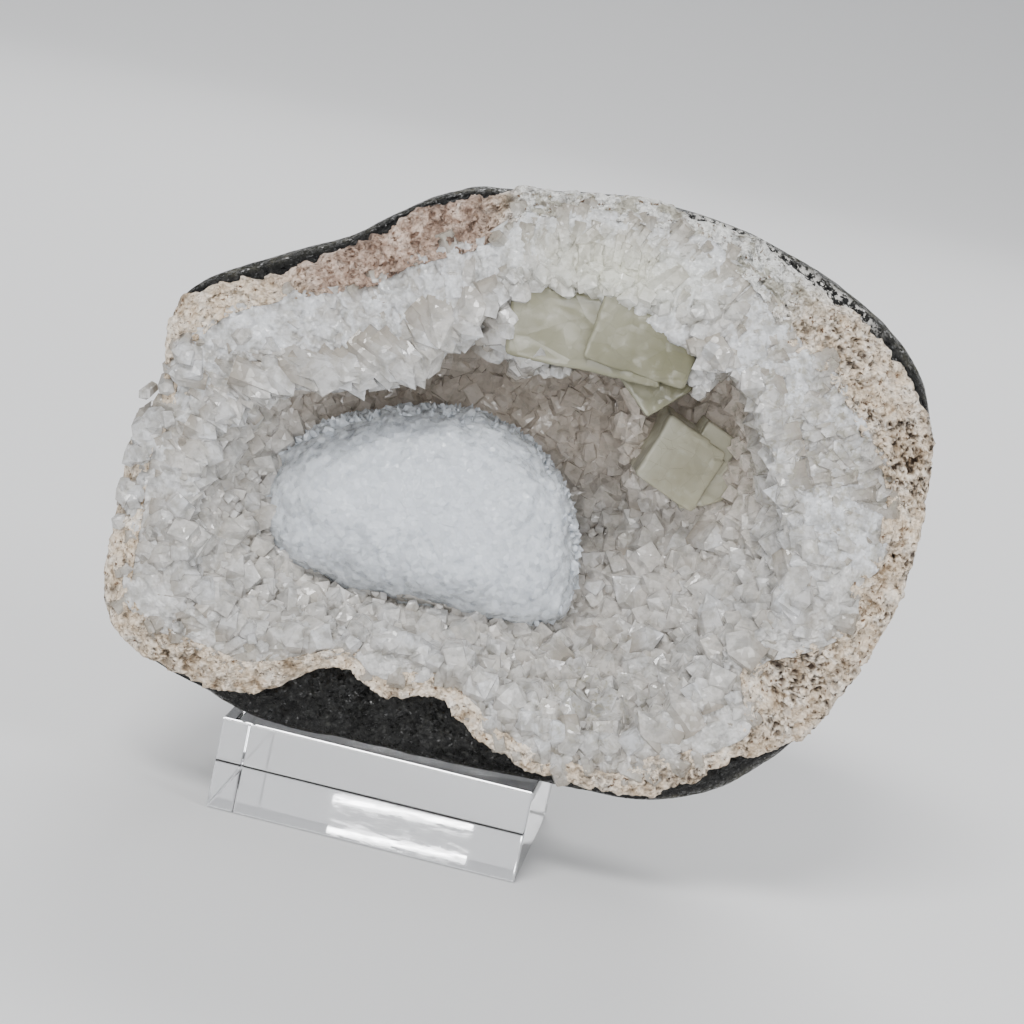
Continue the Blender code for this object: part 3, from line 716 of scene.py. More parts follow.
# a sheet over the tan band, crumbled and pitted, which closes as a thin bowl behind the quartz
def makeRind(finish):
    shape = rindShape
    degrees = anglesRound(shape["columns"])
    outer, inner = along("rind", degrees), along("quartz", degrees)
    outside, lap = along("silhouette", degrees), along("lap", degrees)
    front = rimFront(degrees)
    lip = outer + 0.3 + (outside - outer - 0.3) * lap
    edge = ringPoints(degrees, lip, 0 * lip)
    lip = lip + crumbleNoise(edge, 2.6, 3, 23) * shape["ragged"] * (1 - 0.85 * lap)
    back = liningRows(degrees, "rind", front, stone["basaltLining"], 0.15)[::-1]
    across = np.linspace(0, 1, shape["rows"])[:, None]
    radius = lip + (inner - shape["under"] - lip) * across
    band = ringPoints(degrees, radius, breakDepth(degrees, radius) - 0.2)
    wide = np.clip((lip - inner) / 5, 0.5, 1.3)
    band[..., 1] += (relief(band, shape["layers"]) - 0.2) * shape["crumb"] * wide
    band[..., 1] += 2.2 * (1 - np.clip(across / 0.1, 0, 1)) ** 2
    band[..., 0] += smoothNoise(band, 1.2, 31) * shape["shake"]
    band[..., 2] += smoothNoise(band, 1.2, 32) * shape["shake"]
    pits = 1 - smoothStep(0.2, 0.42, cellNoise(band, shape["pitSize"], 41))
    pits = np.maximum(pits, 0.8 * (1 - smoothStep(0.22, 0.45, cellNoise(band, shape["smallPitSize"], 47))))
    some = smoothStep(-0.3, 0.3, crumbleNoise(band, 8, 2, 51))
    right = 1 - smoothStep(20, 60, np.minimum(degrees, 360 - degrees))
    pits *= some * (0.6 + 0.4 * right)
    band[..., 1] += pits * shape["pitDepth"] * wide
    lining = liningRows(degrees, "quartz", breakDepth(degrees, inner), stone["rindLining"], -0.15)
    points = np.concatenate([back, band, lining])
    # the pits' share, which the rind finish turns near-black as painted shade
    pit = np.zeros(points.shape[:2])
    pit[len(back):len(back) + len(band)] = pits
    pink = within(degrees, 98, 112, 142, 156)
    white = within(degrees, 38, 52, 100, 106)
    spread = [np.broadcast_to(value, pit.shape) for value in (pink, white)]
    poles = (0.0, stone["basaltLining"], 0.0), (0.0, stone["rindLining"], 0.0)
    return bowl("alteredRind", points, *poles, finish, {"pit": pit, "pink": spread[0], "white": spread[1]})


# Quartz crust


# s runs 0 to 1 over the broken rim from its outer edge to the brow, and 1 to 2 down the hollow
def crustSurface(degrees, s):
    outer, brow = along("quartz", degrees), along("brow", degrees)
    turn = np.radians(90 * np.clip(s - 1, 0, 1))
    slope = along("slope", degrees)
    radius = np.where(s < 1, outer + (brow - outer) * s, brow * np.cos(turn) ** slope)
    start = along("browDip", degrees)
    sink = np.sin(turn) ** np.clip(2 * slope - 0.4, 0.8, 2)
    hollow = start + (stone["hollowBack"] - start) * sink
    depth = np.where(s < 1, breakDepth(degrees, radius), hollow)
    p = ringPoints(degrees, radius, depth)
    toPole = np.where(s < 1, 0, 1 - np.cos(turn))
    p[..., 0] += stone["pole"][0] * toPole
    p[..., 2] += stone["pole"][1] * toPole
    return p


# outward normal of crustSurface, from its change along each parameter
def crustNormal(degrees, s):
    s = np.minimum(s, 1.97)
    sweep = crustSurface(degrees + 0.4, s) - crustSurface(degrees - 0.4, s)
    inward = crustSurface(degrees, s + 0.01) - crustSurface(degrees, s - 0.01)
    return unit(np.cross(sweep, inward))


ball = {
    "middle": (-16.9, 22.0, -8.0),
    "depth": 20.0,
    "halfSizes": (31.0, 20.0, 21.0),  # of the egg whose slopes the surface takes
    "rows": 176,
    "columns": 370,
    "blades": 1700,
    "bladeWidth": (1.2, 3.0),
    "bladeHeight": (-0.2, 0.7),
    "seatShare": 0.93,  # the crust laps over the ball outside this share of its outline
}


# how far out of the ball's outline a point lies, seen from the front: 1 on the outline
def ballShare(p):
    x, z = p[..., 0] - ball["middle"][0], p[..., 2] - ball["middle"][2]
    return np.hypot(x, z) / along("ball", np.degrees(np.arctan2(z, x)))


# the ball's front surface at a place seen from the front
def ballFront(p):
    share = np.clip(ballShare(p), 0, 1)
    return ball["middle"][1] - ball["depth"] * np.sqrt(1 - share**2)


# Calcite rhombs: middle and three edges
calciteUpper = [
    ((7.0, 6.8, 32.6), (29.0, 2.0, -0.5), (-1.5, 1.5, 14.2), (2.0, 14.0, 1.5)),
    ((17.3, 4.3, 33.4), (19.6, 3.2, -2.4), (1.8, 0.4, 13.4), (1.0, 9.5, 1.0)),
    ((20.6, 8.4, 26.0), (7.6, 1.5, 7.0), (-7.4, 1.0, 7.2), (0.5, 8.0, 0.5)),
]
calciteLower = [
    ((28.6, 27.0, 11.2), (12.5, 3.0, -5.4), (4.6, 1.5, 12.6), (-1.5, 12.0, 1.5)),
    ((33.5, 29.0, 9.0), (10.0, 2.0, 4.0), (-3.5, 2.0, 10.0), (-1.0, 9.0, 0.5)),
    ((34.6, 28.6, 14.6), (7.5, 3.0, -3.2), (2.8, 1.0, 7.4), (-1.0, 9.0, 0.5)),
]


# largest share of a rhomb's half edges that a point lies out along: under 1 is inside
def rhombShare(p, rhomb):
    middle, *edges = (np.array(v, dtype=float) for v in rhomb)
    return np.abs((p - middle) @ np.linalg.inv(np.array(edges) / 2)).max(-1)


crust = {
    "rimColumns": 1150,
    "rimRows": 76,
    "hollowColumns": 520,
    "hollowRows": 96,
    "sunk": 0.7,
    "rimEnd": 1.12,  # how far the rim's sheet runs on past the brow
    "thickness": 2.5,
    "rimLayers": [(facetNoise, (2.4, 62), 0.35), (facetNoise, (1.2, 64), 0.2),
                  (crumbleNoise, (9, 2, 63), 0.8)],
    "hollowLayers": [(facetNoise, (4.5, 67), 0.8), (facetNoise, (2.0, 68), 0.35),
                     (crumbleNoise, (8, 2, 69), 0.8)],
}


# numbers that the quartz finishes read, worked out from where each point lies
def quartzValues(p, tip, tone):
    x, z = p[..., 0], p[..., 2]
    dirt = 0.35 + 0.9 * np.exp(-(((x - 20) / 9) ** 2 + ((z + 34) / 7) ** 2))
    dirt = dirt + 0.5 * smoothStep(28, 44, x) * smoothStep(-10, 20, z)
    green = 0.75 * np.exp(-(((x - 9) / 15) ** 2 + ((z - 44) / 6) ** 2))
    return {"tip": tip, "tone": tone, "recess": paintedRecessShare(p), "dirt": np.clip(dirt, 0, 1), "green": green}


# the broken band of massive quartz: long radial grains, each a tilted plane, with sugary facets on them
def makeRim(finish):
    degrees = anglesRound(crust["rimColumns"])
    s = np.linspace(0.01, crust["rimEnd"], crust["rimRows"])[:, None]
    p = crustSurface(degrees[None, :], s)
    n = crustNormal(degrees[None, :], np.maximum(s, 0.03))
    radius = np.hypot(p[..., 0], p[..., 2])
    grain = np.stack([radius / 2.0, np.radians(degrees) * 55 + 0 * radius, p[..., 1] / 2.0], -1)
    height = facetNoise(grain, 3.6, 61) * 0.45 + relief(p, crust["rimLayers"])
    edge = np.clip(s / 0.05, 0, 1) * np.clip((crust["rimEnd"] - s) / 0.06, 0, 1)
    front = p + n * ((height + 0.25) * edge - 0.6 * (1 - edge))[..., None]
    front[..., 0] += smoothNoise(p, 1.4, 65) * 0.25
    front[..., 2] += smoothNoise(p, 1.4, 66) * 0.25
    front = seated(front, 1.0)
    behind = seated(p - n * crust["thickness"], crust["thickness"])[[0, 25, 50, -1]][::-1]
    points = np.concatenate([front, behind])
    tip = np.full(points.shape[:2], 0.85)
    # painted shade: lower places of the broken band get more of the brown root colour
    tip[:len(front)] = 0.8 + np.clip(height, -0.5, 0.2)
    tone = np.broadcast_to(smoothStep(150, 230, degrees), tip.shape) * 0.6
    return ringBody("quartzRim", points, finish, quartzValues(points, tip, tone))


# the hollow's wall between the crystals: lumpy and browner by painted shade, with the crust's whole
# thickness behind it
def makeHollow(finish):
    degrees = anglesRound(crust["hollowColumns"])
    outer, brow = along("quartz", degrees), along("brow", degrees)
    back = liningRows(degrees, "quartz", breakDepth(degrees, outer), stone["rindLining"], 0.15)[::-1]
    under = np.array([ringPoints(degrees, outer + (brow - outer) * share, breakDepth(degrees, outer) + 3.5)
                      for share in (0.05, 0.5, 0.85)])
    s = 1 + np.linspace(0.0, 0.985, crust["hollowRows"])[:, None]
    p = crustSurface(degrees[None, :], s)
    n = crustNormal(degrees[None, :], s)
    front = seated(p + n * (relief(p, crust["hollowLayers"]) - crust["sunk"])[..., None], 1.0)
    points = np.concatenate([back, under, front])
    # painted shade: the wall takes half the brown root colour
    tip = np.full(points.shape[:2], 0.5)
    tone = np.full(points.shape[:2], 0.5)
    outPole = (0.0, stone["rindLining"], 0.0)
    inPole = (stone["pole"][0], stone["hollowBack"] + 1, stone["pole"][1])
    return bowl("quartzHollow", points, outPole, inPole, finish, quartzValues(points, tip, tone))


# keeps the crust behind the front of the ball, but lets it lap over the ball's edge
def seated(p, clearance):
    q = p.copy()
    inBall = ballShare(q) < ball["seatShare"]
    q[..., 1] = np.where(inBall, np.maximum(q[..., 1], ballFront(q) + clearance), q[..., 1])
    return q


# painted shade: a brown tint over the deep parts under the roof
def paintedRecessShare(p):
    deep = smoothStep(6, 26, p[..., 1])
    under = smoothStep(-6, 12, p[..., 2])
    return 0.12 * deep + 0.55 * deep * under


# even scatter over the crust: a two-number golden sequence carried through the surface's own area
def scatter(count, sLow, sHigh, seed):
    fineS = np.linspace(sLow, sHigh, 160)
    fineDegrees = np.arange(0, 361, 1.5)
    grid = crustSurface(fineDegrees[None, :], fineS[:, None])
    down = np.linalg.norm(np.diff(grid, axis=0), axis=-1)[:, :-1]
    over = np.linalg.norm(np.diff(grid, axis=1), axis=-1)[:-1]
    area = down * over
    n = np.arange(count) + seed
    u, v = (n * 0.7548776662466927) % 1, (n * 0.5698402909980532) % 1
    rowShare = np.concatenate([[0], np.cumsum(area.sum(1))])
    s = np.interp(u * rowShare[-1], rowShare, fineS)
    row = np.clip(np.searchsorted(fineS, s) - 1, 0, len(area) - 1)
    columnShare = np.concatenate([np.zeros((len(area), 1)), np.cumsum(area, 1)], 1)
    columnShare /= columnShare[:, -1:]
    degrees = np.empty(count)
    for r in np.unique(row):
        here = row == r
        degrees[here] = np.interp(v[here], columnShare[r], fineDegrees)
    return degrees, s


# two directions square to each axis
def squareTo(axis):
    helper = np.where(np.abs(axis[:, 2:3]) < 0.8, [[0.0, 0.0, 1.0]], [[1.0, 0.0, 0.0]])
    u = unit(np.cross(helper, axis))
    return u, np.cross(axis, u)


# towards the middle of the face, from places at these angles round it
def inwardFrom(degrees):
    angle = np.radians(degrees)
    return -np.stack([np.cos(angle), 0 * angle, np.sin(angle)], -1)


# widths between two limits: a random share raised to a power, so that most are small
def widthsBetween(rng, count, limits, power):
    low, high = limits
    return low + (high - low) * rng.uniform(0, 1, count) ** power


# six-sided points: a foot ring, a shoulder ring with uneven corners and a tip set off the axis
def crystalArrays(base, axis, spin, width, height, sunk, flat, rng, pointed=0.5, corners=None,
                  jitter=1.0):
    count = len(base)
    u, v = squareTo(axis)
    across = u * np.cos(spin)[:, None] + v * np.sin(spin)[:, None]
    beside = np.cross(axis, across)
    k = np.arange(6)
    corner = k * math.pi / 3 if corners is None else np.radians(corners)
    ring = (np.cos(corner)[None, :, None] * across[:, None]
            + np.sin(corner)[None, :, None] * beside[:, None] * flat[:, None, None])
    ring = ring * width[:, None, None] / 2
    point = np.minimum(flat, 1) * width
    uneven = rng.uniform(-0.12, 0.12, (count, 6)) + rng.uniform(0.02, 0.2, (count, 1)) * (-1.0) ** k
    uneven = uneven * jitter
    shoulder = (height[:, None] + uneven * point[:, None])[..., None]
    foot = base[:, None] + ring * 0.92 - axis[:, None] * sunk[:, None, None]
    top = base[:, None] + ring + axis[:, None] * shoulder
    offset = across * rng.uniform(-0.2, 0.2, (count, 1)) + beside * rng.uniform(-0.2, 0.2, (count, 1))
    tipHeight = height + point * rng.uniform(0.8, 1.2, count) * pointed
    tip = base + axis * tipHeight[:, None] + offset * point[:, None] * jitter
    points = np.concatenate([foot, top, tip[:, None]], 1)
    after = (k + 1) % 6
    sides = np.stack([k, after, after + 6, k + 6], -1)
    ends = np.array([[0, 5, 4, 3], [0, 3, 2, 1]])
    tips = np.stack([k + 6, after + 6, np.full(6, 12)], -1)
    first = np.arange(count)[:, None, None] * 13
    quads = (np.concatenate([sides, ends])[None] + first).reshape(-1, 4)
    triangles = (tips[None] + first).reshape(-1, 3)
    return points, quads, triangles


def crystalObject(name, arrays, finish, tone):
    points, quads, triangles = arrays
    count = len(points)
    # painted shade: the foot ring takes the brown root colour, the shoulder less and the tip none
    tip = np.broadcast_to(np.array([0.0] * 6 + [0.75] * 6 + [1.0]), (count, 13))
    values = quartzValues(points, tip, np.broadcast_to(tone[:, None], (count, 13)))
    return meshObject(name, placed(points.reshape(-1, 3)), quads, triangles, finish, False, values)


# crystals that would hide the ball or the calcite are left out; a few may lap over their edges
def clearOfMinerals(points):
    tip = points[:, 12]
    share = ballShare(tip)
    hidden = (share < 0.91) & (tip[:, 1] < ballFront(tip) + 0.4)
    hidden |= (share < 0.82) & (tip[:, 1] < ball["middle"][1])
    for rhomb in calciteUpper + calciteLower:
        ahead = tip.copy()
        ahead[:, 1] = rhomb[0][1]
        flatRhomb = (rhomb[0], rhomb[1], rhomb[2], (0.0, 60.0, 0.0))
        hidden |= (rhombShare(ahead, flatRhomb) < 0.93) & (tip[:, 1] < rhomb[0][1] + 2)
    return ~hidden


def keepOnly(arrays, keep, *more):
    points = arrays[0][keep]
    count = len(points)
    quads = arrays[1].reshape(-1, 8, 4)[0][None] + np.arange(count)[:, None, None] * 13
    triangles = arrays[2].reshape(-1, 6, 3)[0][None] + np.arange(count)[:, None, None] * 13
    return ((points, quads.reshape(-1, 4), triangles.reshape(-1, 3)), *(m[keep] for m in more))


druse = {
    "hollowCount": 3400,
    "hollowWidth": (2.0, 7.0),
    "hollowTilt": 0.36,
    "rimCount": 800,
    "rimWidth": (1.6, 4.6),
    "browCount": 560,
    "browWidth": (2.6, 6.6),
}


# crystals of the hollow stand off the wall, each leaning its own way
def makeHollowCrystals(finish):
    rng = np.random.default_rng(5)
    count = druse["hollowCount"]
    degrees, s = scatter(count, 0.97, 1.985, 3)
    base, normal = crustSurface(degrees, s), crustNormal(degrees, s)
    axis = unit(normal + rng.normal(0, druse["hollowTilt"], (count, 3)))
    width = widthsBetween(rng, count, druse["hollowWidth"], 2.2)
    height = width * rng.uniform(-0.1, 0.22, count)
    arrays = crystalArrays(base - normal * 0.7, axis, rng.uniform(0, 6.3, count), width, height,
                           width * 0.7, rng.uniform(0.8, 1.2, count), rng, 0.46)
    arrays, tone = keepOnly(arrays, clearOfMinerals(arrays[0]), rng.uniform(0.3, 1.1, count))
    return crystalObject("quartzHollowCrystals", arrays, finish, tone)


# grains that lie in the broken rim, pointing inwards and mostly sunk in it
def makeRimCrystals(finish):
    rng = np.random.default_rng(8)
    count = druse["rimCount"]
    degrees, s = scatter(count, 0.08, 0.98, 11)
    base, normal = crustSurface(degrees, s), crustNormal(degrees, s)
    lift = normal * (0.2 + 0.75 * s[:, None] ** 3)
    axis = unit(inwardFrom(degrees) + lift + rng.normal(0, 0.35, (count, 3)))
    width = widthsBetween(rng, count, druse["rimWidth"], 1.8)
    height = width * rng.uniform(0.0, 0.9, count)
    arrays = crystalArrays(base - normal * (0.28 * width[:, None]), axis, rng.uniform(0, 6.3, count), width,
                           height, width * 0.9, rng.uniform(0.7, 1.1, count), rng)
    roof = within(degrees, 100, 115, 155, 170)
    kept = clearOfMinerals(arrays[0]) & (rng.uniform(0, 1, count) > 0.7 * roof)
    arrays, tone = keepOnly(arrays, kept, rng.uniform(0, 0.8, count))
    return crystalObject("quartzRimCrystals", arrays, finish, tone)


overgrowth = {
    # runs along the edges of the calcite seen from the front, with depths and how many points on each
    "runs": [
        ((-9.5, 0.5, 38.0), (6.0, -0.5, 42.5), 26), ((4.0, -0.5, 42.5), (28.0, 1.0, 38.5), 40),
        ((28.5, 1.5, 38.0), (29.5, 4.0, 26.0), 26), ((-10.5, 2.0, 39.0), (-9.5, 7.0, 27.0), 22),
        ((-8.0, 9.0, 26.0), (4.0, 10.0, 23.5), 18), ((18.5, 26.0, 19.0), (22.0, 30.0, 5.0), 22),
        ((23.0, 30.0, 3.5), (35.0, 31.0, 2.5), 22), ((40.5, 27.0, 8.0), (41.0, 25.0, 20.0), 18),
        ((-64.0, 2.5, 17.0), (-66.0, 3.5, 7.0), 12), ((-68.5, 4.0, 2.0), (-70.0, 4.5, -9.0), 22),
        ((-70.0, 4.0, -12.0), (-70.0, 4.0, -22.0), 10), ((-9.0, 0.5, 30.0), (-3.0, 2.0, 25.5), 18),
    ],
    "width": (2.0, 5.0),
    "spread": 1.0,
}


# points that grow over the edges of the calcite, scattered along straight runs
def makeOvergrowth(finish):
    rng = np.random.default_rng(29)
    base = np.concatenate([np.array(first) + (np.array(last) - first) * rng.uniform(0, 1, (count, 1))
                           for first, last, count in overgrowth["runs"]])
    count = len(base)
    base = base + rng.normal(0, overgrowth["spread"], (count, 3)) * np.array([1.0, 0.6, 1.0])
    axis = unit(np.array([0, -1.0, -0.1]) + rng.normal(0, 0.4, (count, 3)))
    width = rng.uniform(*overgrowth["width"], count)
    arrays = crystalArrays(base, axis, rng.uniform(0, 6.3, count), width, width * rng.uniform(0, 0.3, count),
                           width * 1.3, rng.uniform(0.8, 1.2, count), rng)
    return crystalObject("quartzOvergrowth", arrays, finish, rng.uniform(0, 0.7, count))


# teeth along the brow: points that lean over the hollow's edge
def makeBrowCrystals(finish):
    rng = np.random.default_rng(17)
    count = druse["browCount"]
    degrees, s = scatter(count, 0.86, 1.12, 5)
    base, normal = crustSurface(degrees, s), crustNormal(degrees, s)
    roof = within(degrees, 100, 120, 160, 185)
    lean = inwardFrom(degrees) * (0.55 + 0.5 * roof[:, None])
    forward = np.array([0, -1.0, 0]) * (0.75 - 0.45 * roof[:, None])
    axis = unit(lean + forward + rng.normal(0, 0.2, (count, 3)))
    width = widthsBetween(rng, count, druse["browWidth"], 1.5) + roof
    height = width * (rng.uniform(-0.1, 0.35, count) + 0.25 * roof)
    arrays = crystalArrays(base - normal * 0.5, axis, rng.uniform(0, 6.3, count), width,
                           height, width * 0.8, rng.uniform(0.8, 1.15, count), rng, 0.55)
    arrays, tone = keepOnly(arrays, clearOfMinerals(arrays[0]), rng.uniform(0, 0.8, count))
    return crystalObject("quartzBrowCrystals", arrays, finish, tone)


glints = {
    # places seen from the front, widths, and how far round the view each point leans, in degrees
    "spots": [
        (38.9, -2.3, 6.4, 200), (24.4, -16.0, 7.6, 20), (18.3, -17.0, 4.4, 250), (30.5, -22.5, 5.4, 160),
        (27.2, -9.4, 3.2, 90), (31.0, 30.5, 6.6, 300), (-45.0, 9.0, 3.6, 120), (-52.0, 4.0, 3.0, 30),
        (-63.5, 9.5, 7.0, 210), (-70.0, -7.0, 5.0, 200), (46.0, 2.0, 5.0, 330), (40.0, -14.0, 5.6, 60),
    ],
    "corners": (-14, 14, 106, 134, 226, 254),
    "lean": 49.0,
}


# single three-sided points, each turned so that one face mirrors the key light to the camera
def makeGlints(finish):
    rng = np.random.default_rng(23)
    spots = np.array(glints["spots"], dtype=float)
    degrees, s = np.meshgrid(np.arange(0, 360, 1.0), np.linspace(0.05, 1.95, 190))
    surface = crustSurface(degrees, s).reshape(-1, 3)
    away = np.hypot(surface[None, :, 0] - spots[:, :1], surface[None, :, 2] - spots[:, 1:2])
    front = surface[np.argmin(away + 0.02 * surface[None, :, 1], 1)]
    mirror = unit(np.array([-0.12, -0.89, 0.44]))
    sweep = np.radians(spots[:, 3:4])
    sideways = unit(np.cross(mirror, [0.0, 0.0, 1.0]))
    upward = np.cross(sideways, mirror)
    lean = math.radians(glints["lean"])
    way = sideways * np.cos(sweep) + upward * np.sin(sweep)
    axis = mirror * math.cos(lean) + way * math.sin(lean)
    facing = unit(mirror - axis * (axis @ mirror)[:, None])
    turn = math.radians(60)
    across = facing * math.cos(turn) - np.cross(axis, facing) * math.sin(turn)
    u, v = squareTo(axis)
    spin = np.arctan2((across * v).sum(1), (across * u).sum(1))
    width = spots[:, 2]
    arrays = crystalArrays(front + np.array([0, -0.6, 0]), axis, spin, width, width * 0.1, width * 0.8,
                           np.ones(len(spots)), rng, 0.5, glints["corners"], 0.0)
    return crystalObject("quartzGlints", arrays, finish, np.zeros(len(spots)))


# Goosecreekite ball


# outward way at places of the ball: each place over the square of the half sizes
def ballNormal(p):
    return unit(p * (1 / np.array(ball["halfSizes"])) ** 2)


# the ball: its outline carried from the front pole to the back pole as a half circle of its depth,
# swollen into lobes that meet in creases
def makeBall(finish):
    degrees = anglesRound(ball["columns"])
    turn = np.linspace(-88.8, 88.8, ball["rows"])[:, None]
    radius = along("ball", degrees) * np.cos(np.radians(turn))
    p = ringPoints(degrees, radius, ball["depth"] * np.sin(np.radians(turn)))
    n = ballNormal(p)
    lobes = 0.5 - cellNoise(p, 12, 71) + 0.35 * (0.5 - cellNoise(p, 5, 75))
    ragged = smoothStep(0.84, 1.0, np.cos(np.radians(turn))) * (turn < 60)
    fine = facetNoise(p, 2.6, 73) * (0.26 + 0.5 * ragged) + facetNoise(p, 1.2, 77) * (0.07 + 0.2 * ragged)
    p = p + n * (lobes * 1.9 + fine - 0.3)[..., None]
    middle = np.array(ball["middle"])
    poles = middle + np.array([[0, -ball["depth"], 0], [0, ball["depth"], 0]])
    return bowl("goosecreekiteBall", p + middle, *poles, finish)


# blade ends: thin flattened crystals that stand out of the ball, higher towards its outline
def makeBlades(finish):
    rng = np.random.default_rng(13)
    count = ball["blades"]
    n = np.arange(count) + 0.5
    turn = np.arcsin(1 - 1.3 * n / count)
    angle = n * math.pi * (3 - math.sqrt(5))
    radius = along("ball", np.degrees(angle) % 360) * np.cos(turn)
    p = np.stack([radius * np.cos(angle), -ball["depth"] * np.sin(turn), radius * np.sin(angle)], -1)
    normal = ballNormal(p)
    axis = unit(normal + rng.normal(0, 0.3, (count, 3)))
    showing = 1 - smoothStep(0.0, 0.38, np.sin(turn))
    width = rng.uniform(*ball["bladeWidth"], count)
    height = rng.uniform(*ball["bladeHeight"], count)
    base = p + np.array(ball["middle"]) - normal * 0.4
    arrays = crystalArrays(base, axis, rng.uniform(0, 6.3, count), width, height,
                           width * 0.9, rng.uniform(0.25, 0.5, count), rng, 0.9)
    kept = rng.uniform(0, 1, count) < showing
    arrays, tone = keepOnly(arrays, kept, rng.uniform(0, 1, count))
    return crystalObject("goosecreekiteBlades", arrays, finish, tone)


# Calcite


calcite = {"cells": 44, "softness": 18, "wide": 6.5, "wideHeight": 0.3, "fine": 2.4, "fineHeight": 0.1}


# a rhomb: a cube's six faces in cells that narrow towards its edges, joined where they meet. Its
# edges are softened by a division by the k-norm of each place, then it is sheared to three edges
def rhombArrays(rhomb):
    middle, *edges = (np.array(v, dtype=float) for v in rhomb)
    across = np.sin(np.linspace(-1, 1, calcite["cells"] + 1) * math.pi / 2)
    u, v = np.meshgrid(across, across, indexing="ij")
    faces = [np.roll(np.stack([np.full_like(u, side), u, v], -1), axis, -1)
             for axis in range(3) for side in (-1.0, 1.0)]
    cube, place = np.unique(np.stack(faces).reshape(-1, 3), axis=0, return_inverse=True)
    grid = place.reshape(6, *u.shape)
    quads = np.stack([grid[:, :-1, :-1], grid[:, 1:, :-1], grid[:, 1:, 1:], grid[:, :-1, 1:]], -1)
    quads = quads.reshape(6, -1, 4)
    quads[::2] = quads[::2, :, ::-1]
    quads = quads.reshape(-1, 4)
    if np.linalg.det(edges) < 0:
        quads = quads[:, ::-1]
    power = calcite["softness"]
    soft = cube / (np.abs(cube) ** power).sum(-1, keepdims=True) ** (1 / power)
    return soft @ (np.array(edges) / 2) + middle, quads


# the rhombs of one calcite, each worn by faceted noise along the way out of its middle
def makeCalcite(name, rhombs, finish, seed):
    allPoints, allQuads = [], []
    offset = 0
    for number, rhomb in enumerate(rhombs):
        p, quads = rhombArrays(rhomb)
        way = unit(p - np.array(rhomb[0]))
        flat = p * np.array([1.0, 0.4, 1.0])
        worn = facetNoise(flat, calcite["wide"], seed + number) * calcite["wideHeight"]
        worn = worn + facetNoise(p, calcite["fine"], seed + number + 40) * calcite["fineHeight"]
        p = p + way * (worn + smoothNoise(p, 5, seed + number) * 0.15 - 0.1)[..., None]
        allPoints.append(p)
        allQuads.append(quads + offset)
        offset += len(p)
    return meshObject(name, placed(np.concatenate(allPoints)), np.concatenate(allQuads), noTriangles,
                      finish)


# Display block

block = {"length": 60.0, "depth": 45.0, "height": 18.0, "edge": 0.5, "yaw": -6.0, "arc": 5}


# a rounded rectangle, drawn in by a quarter circle at the bottom and top edges, closed by flat caps
def makeBlock(finish):
    arc = np.radians(np.linspace(0, 90, block["arc"]))
    edge = block["edge"]
    corner = np.stack([np.cos(arc), np.sin(arc)], -1)
    turns = [np.array([[c, -s], [s, c]]) for c, s in ((1, 0), (0, 1), (-1, 0), (0, -1))]
    ways = np.concatenate([corner @ t.T for t in turns])
    signs = np.repeat(np.array([[1, 1], [-1, 1], [-1, -1], [1, -1]]), block["arc"], 0)
    centres = signs * (np.array([block["length"], block["depth"]]) / 2 - edge)
    inset = np.concatenate([edge * (1 - np.sin(arc)), edge * (1 - np.cos(arc))])
    height = np.concatenate([edge * (1 - np.cos(arc)), block["height"] - edge * (1 - np.sin(arc))])
    flat = centres[None] + ways[None] * (edge - inset)[:, None, None]
    c, s = math.cos(math.radians(block["yaw"])), math.sin(math.radians(block["yaw"]))
    flat = flat @ np.array([[c, s], [-s, c]]) + blockMiddle[:2]
    points = np.concatenate([flat, np.broadcast_to(height[:, None, None], (*flat.shape[:2], 1))], -1)
    everyPoint, quads, fans = capped(points, (*blockMiddle[:2], 0.0), (*blockMiddle[:2], block["height"]))
    low, high = blockLow + 0.01, blockHigh - 0.01
    return meshObject("displayBlock", np.clip(everyPoint, low, high) / 1000, quads, fans, finish, False)


# Camera, light and floor

view = {
    "lens": 100.0,
    "distance": 520.0,
    "elevation": 12.0,
    "roll": 12.0,
    "faceRight": 5,  # where the middle of the face lies from the picture's middle, in 1024ths
    "faceUp": 15,
}


def makeCamera():
    camera = bpy.data.cameras.new("camera")
    camera.lens = view["lens"]
    camera.sensor_width = 36.0
    camera.clip_start = 0.01
    camera.clip_end = 50.0
    made = bpy.data.objects.new("camera", camera)
    down, roll = math.radians(view["elevation"]), math.radians(view["roll"])
    ahead = Vector((0, math.cos(down), -math.sin(down)))
    level, up = Vector((1, 0, 0)), Vector((0, math.sin(down), math.cos(down)))
    right = level * math.cos(roll) + up * math.sin(roll)
    above = up * math.cos(roll) - level * math.sin(roll)
    pixel = view["distance"] * camera.sensor_width / camera.lens / 1024
    middle = Vector(faceMiddle)
    place = middle - ahead * view["distance"] - right * pixel * view["faceRight"]
    place -= above * pixel * view["faceUp"]
    made.matrix_world = Matrix((
        (*[v[0] for v in (right, above, -ahead)], place[0] / 1000),
        (*[v[1] for v in (right, above, -ahead)], place[1] / 1000),
        (*[v[2] for v in (right, above, -ahead)], place[2] / 1000),
        (0, 0, 0, 1),
    ))
    bpy.context.scene.collection.objects.link(made)
    bpy.context.scene.camera = made


def areaLight(name, place, target, size, power, colour=(1, 1, 1)):
    lamp = bpy.data.lights.new(name, "AREA")
    lamp.shape = "RECTANGLE"
    lamp.size, lamp.size_y = size
    lamp.energy = power
    lamp.color = colour
    made = bpy.data.objects.new(name, lamp)
    made.location = place
    made.rotation_euler = (Vector(target) - Vector(place)).to_track_quat("-Z", "Y").to_euler()
    made.visible_camera = False
    bpy.context.scene.collection.objects.link(made)
    return made


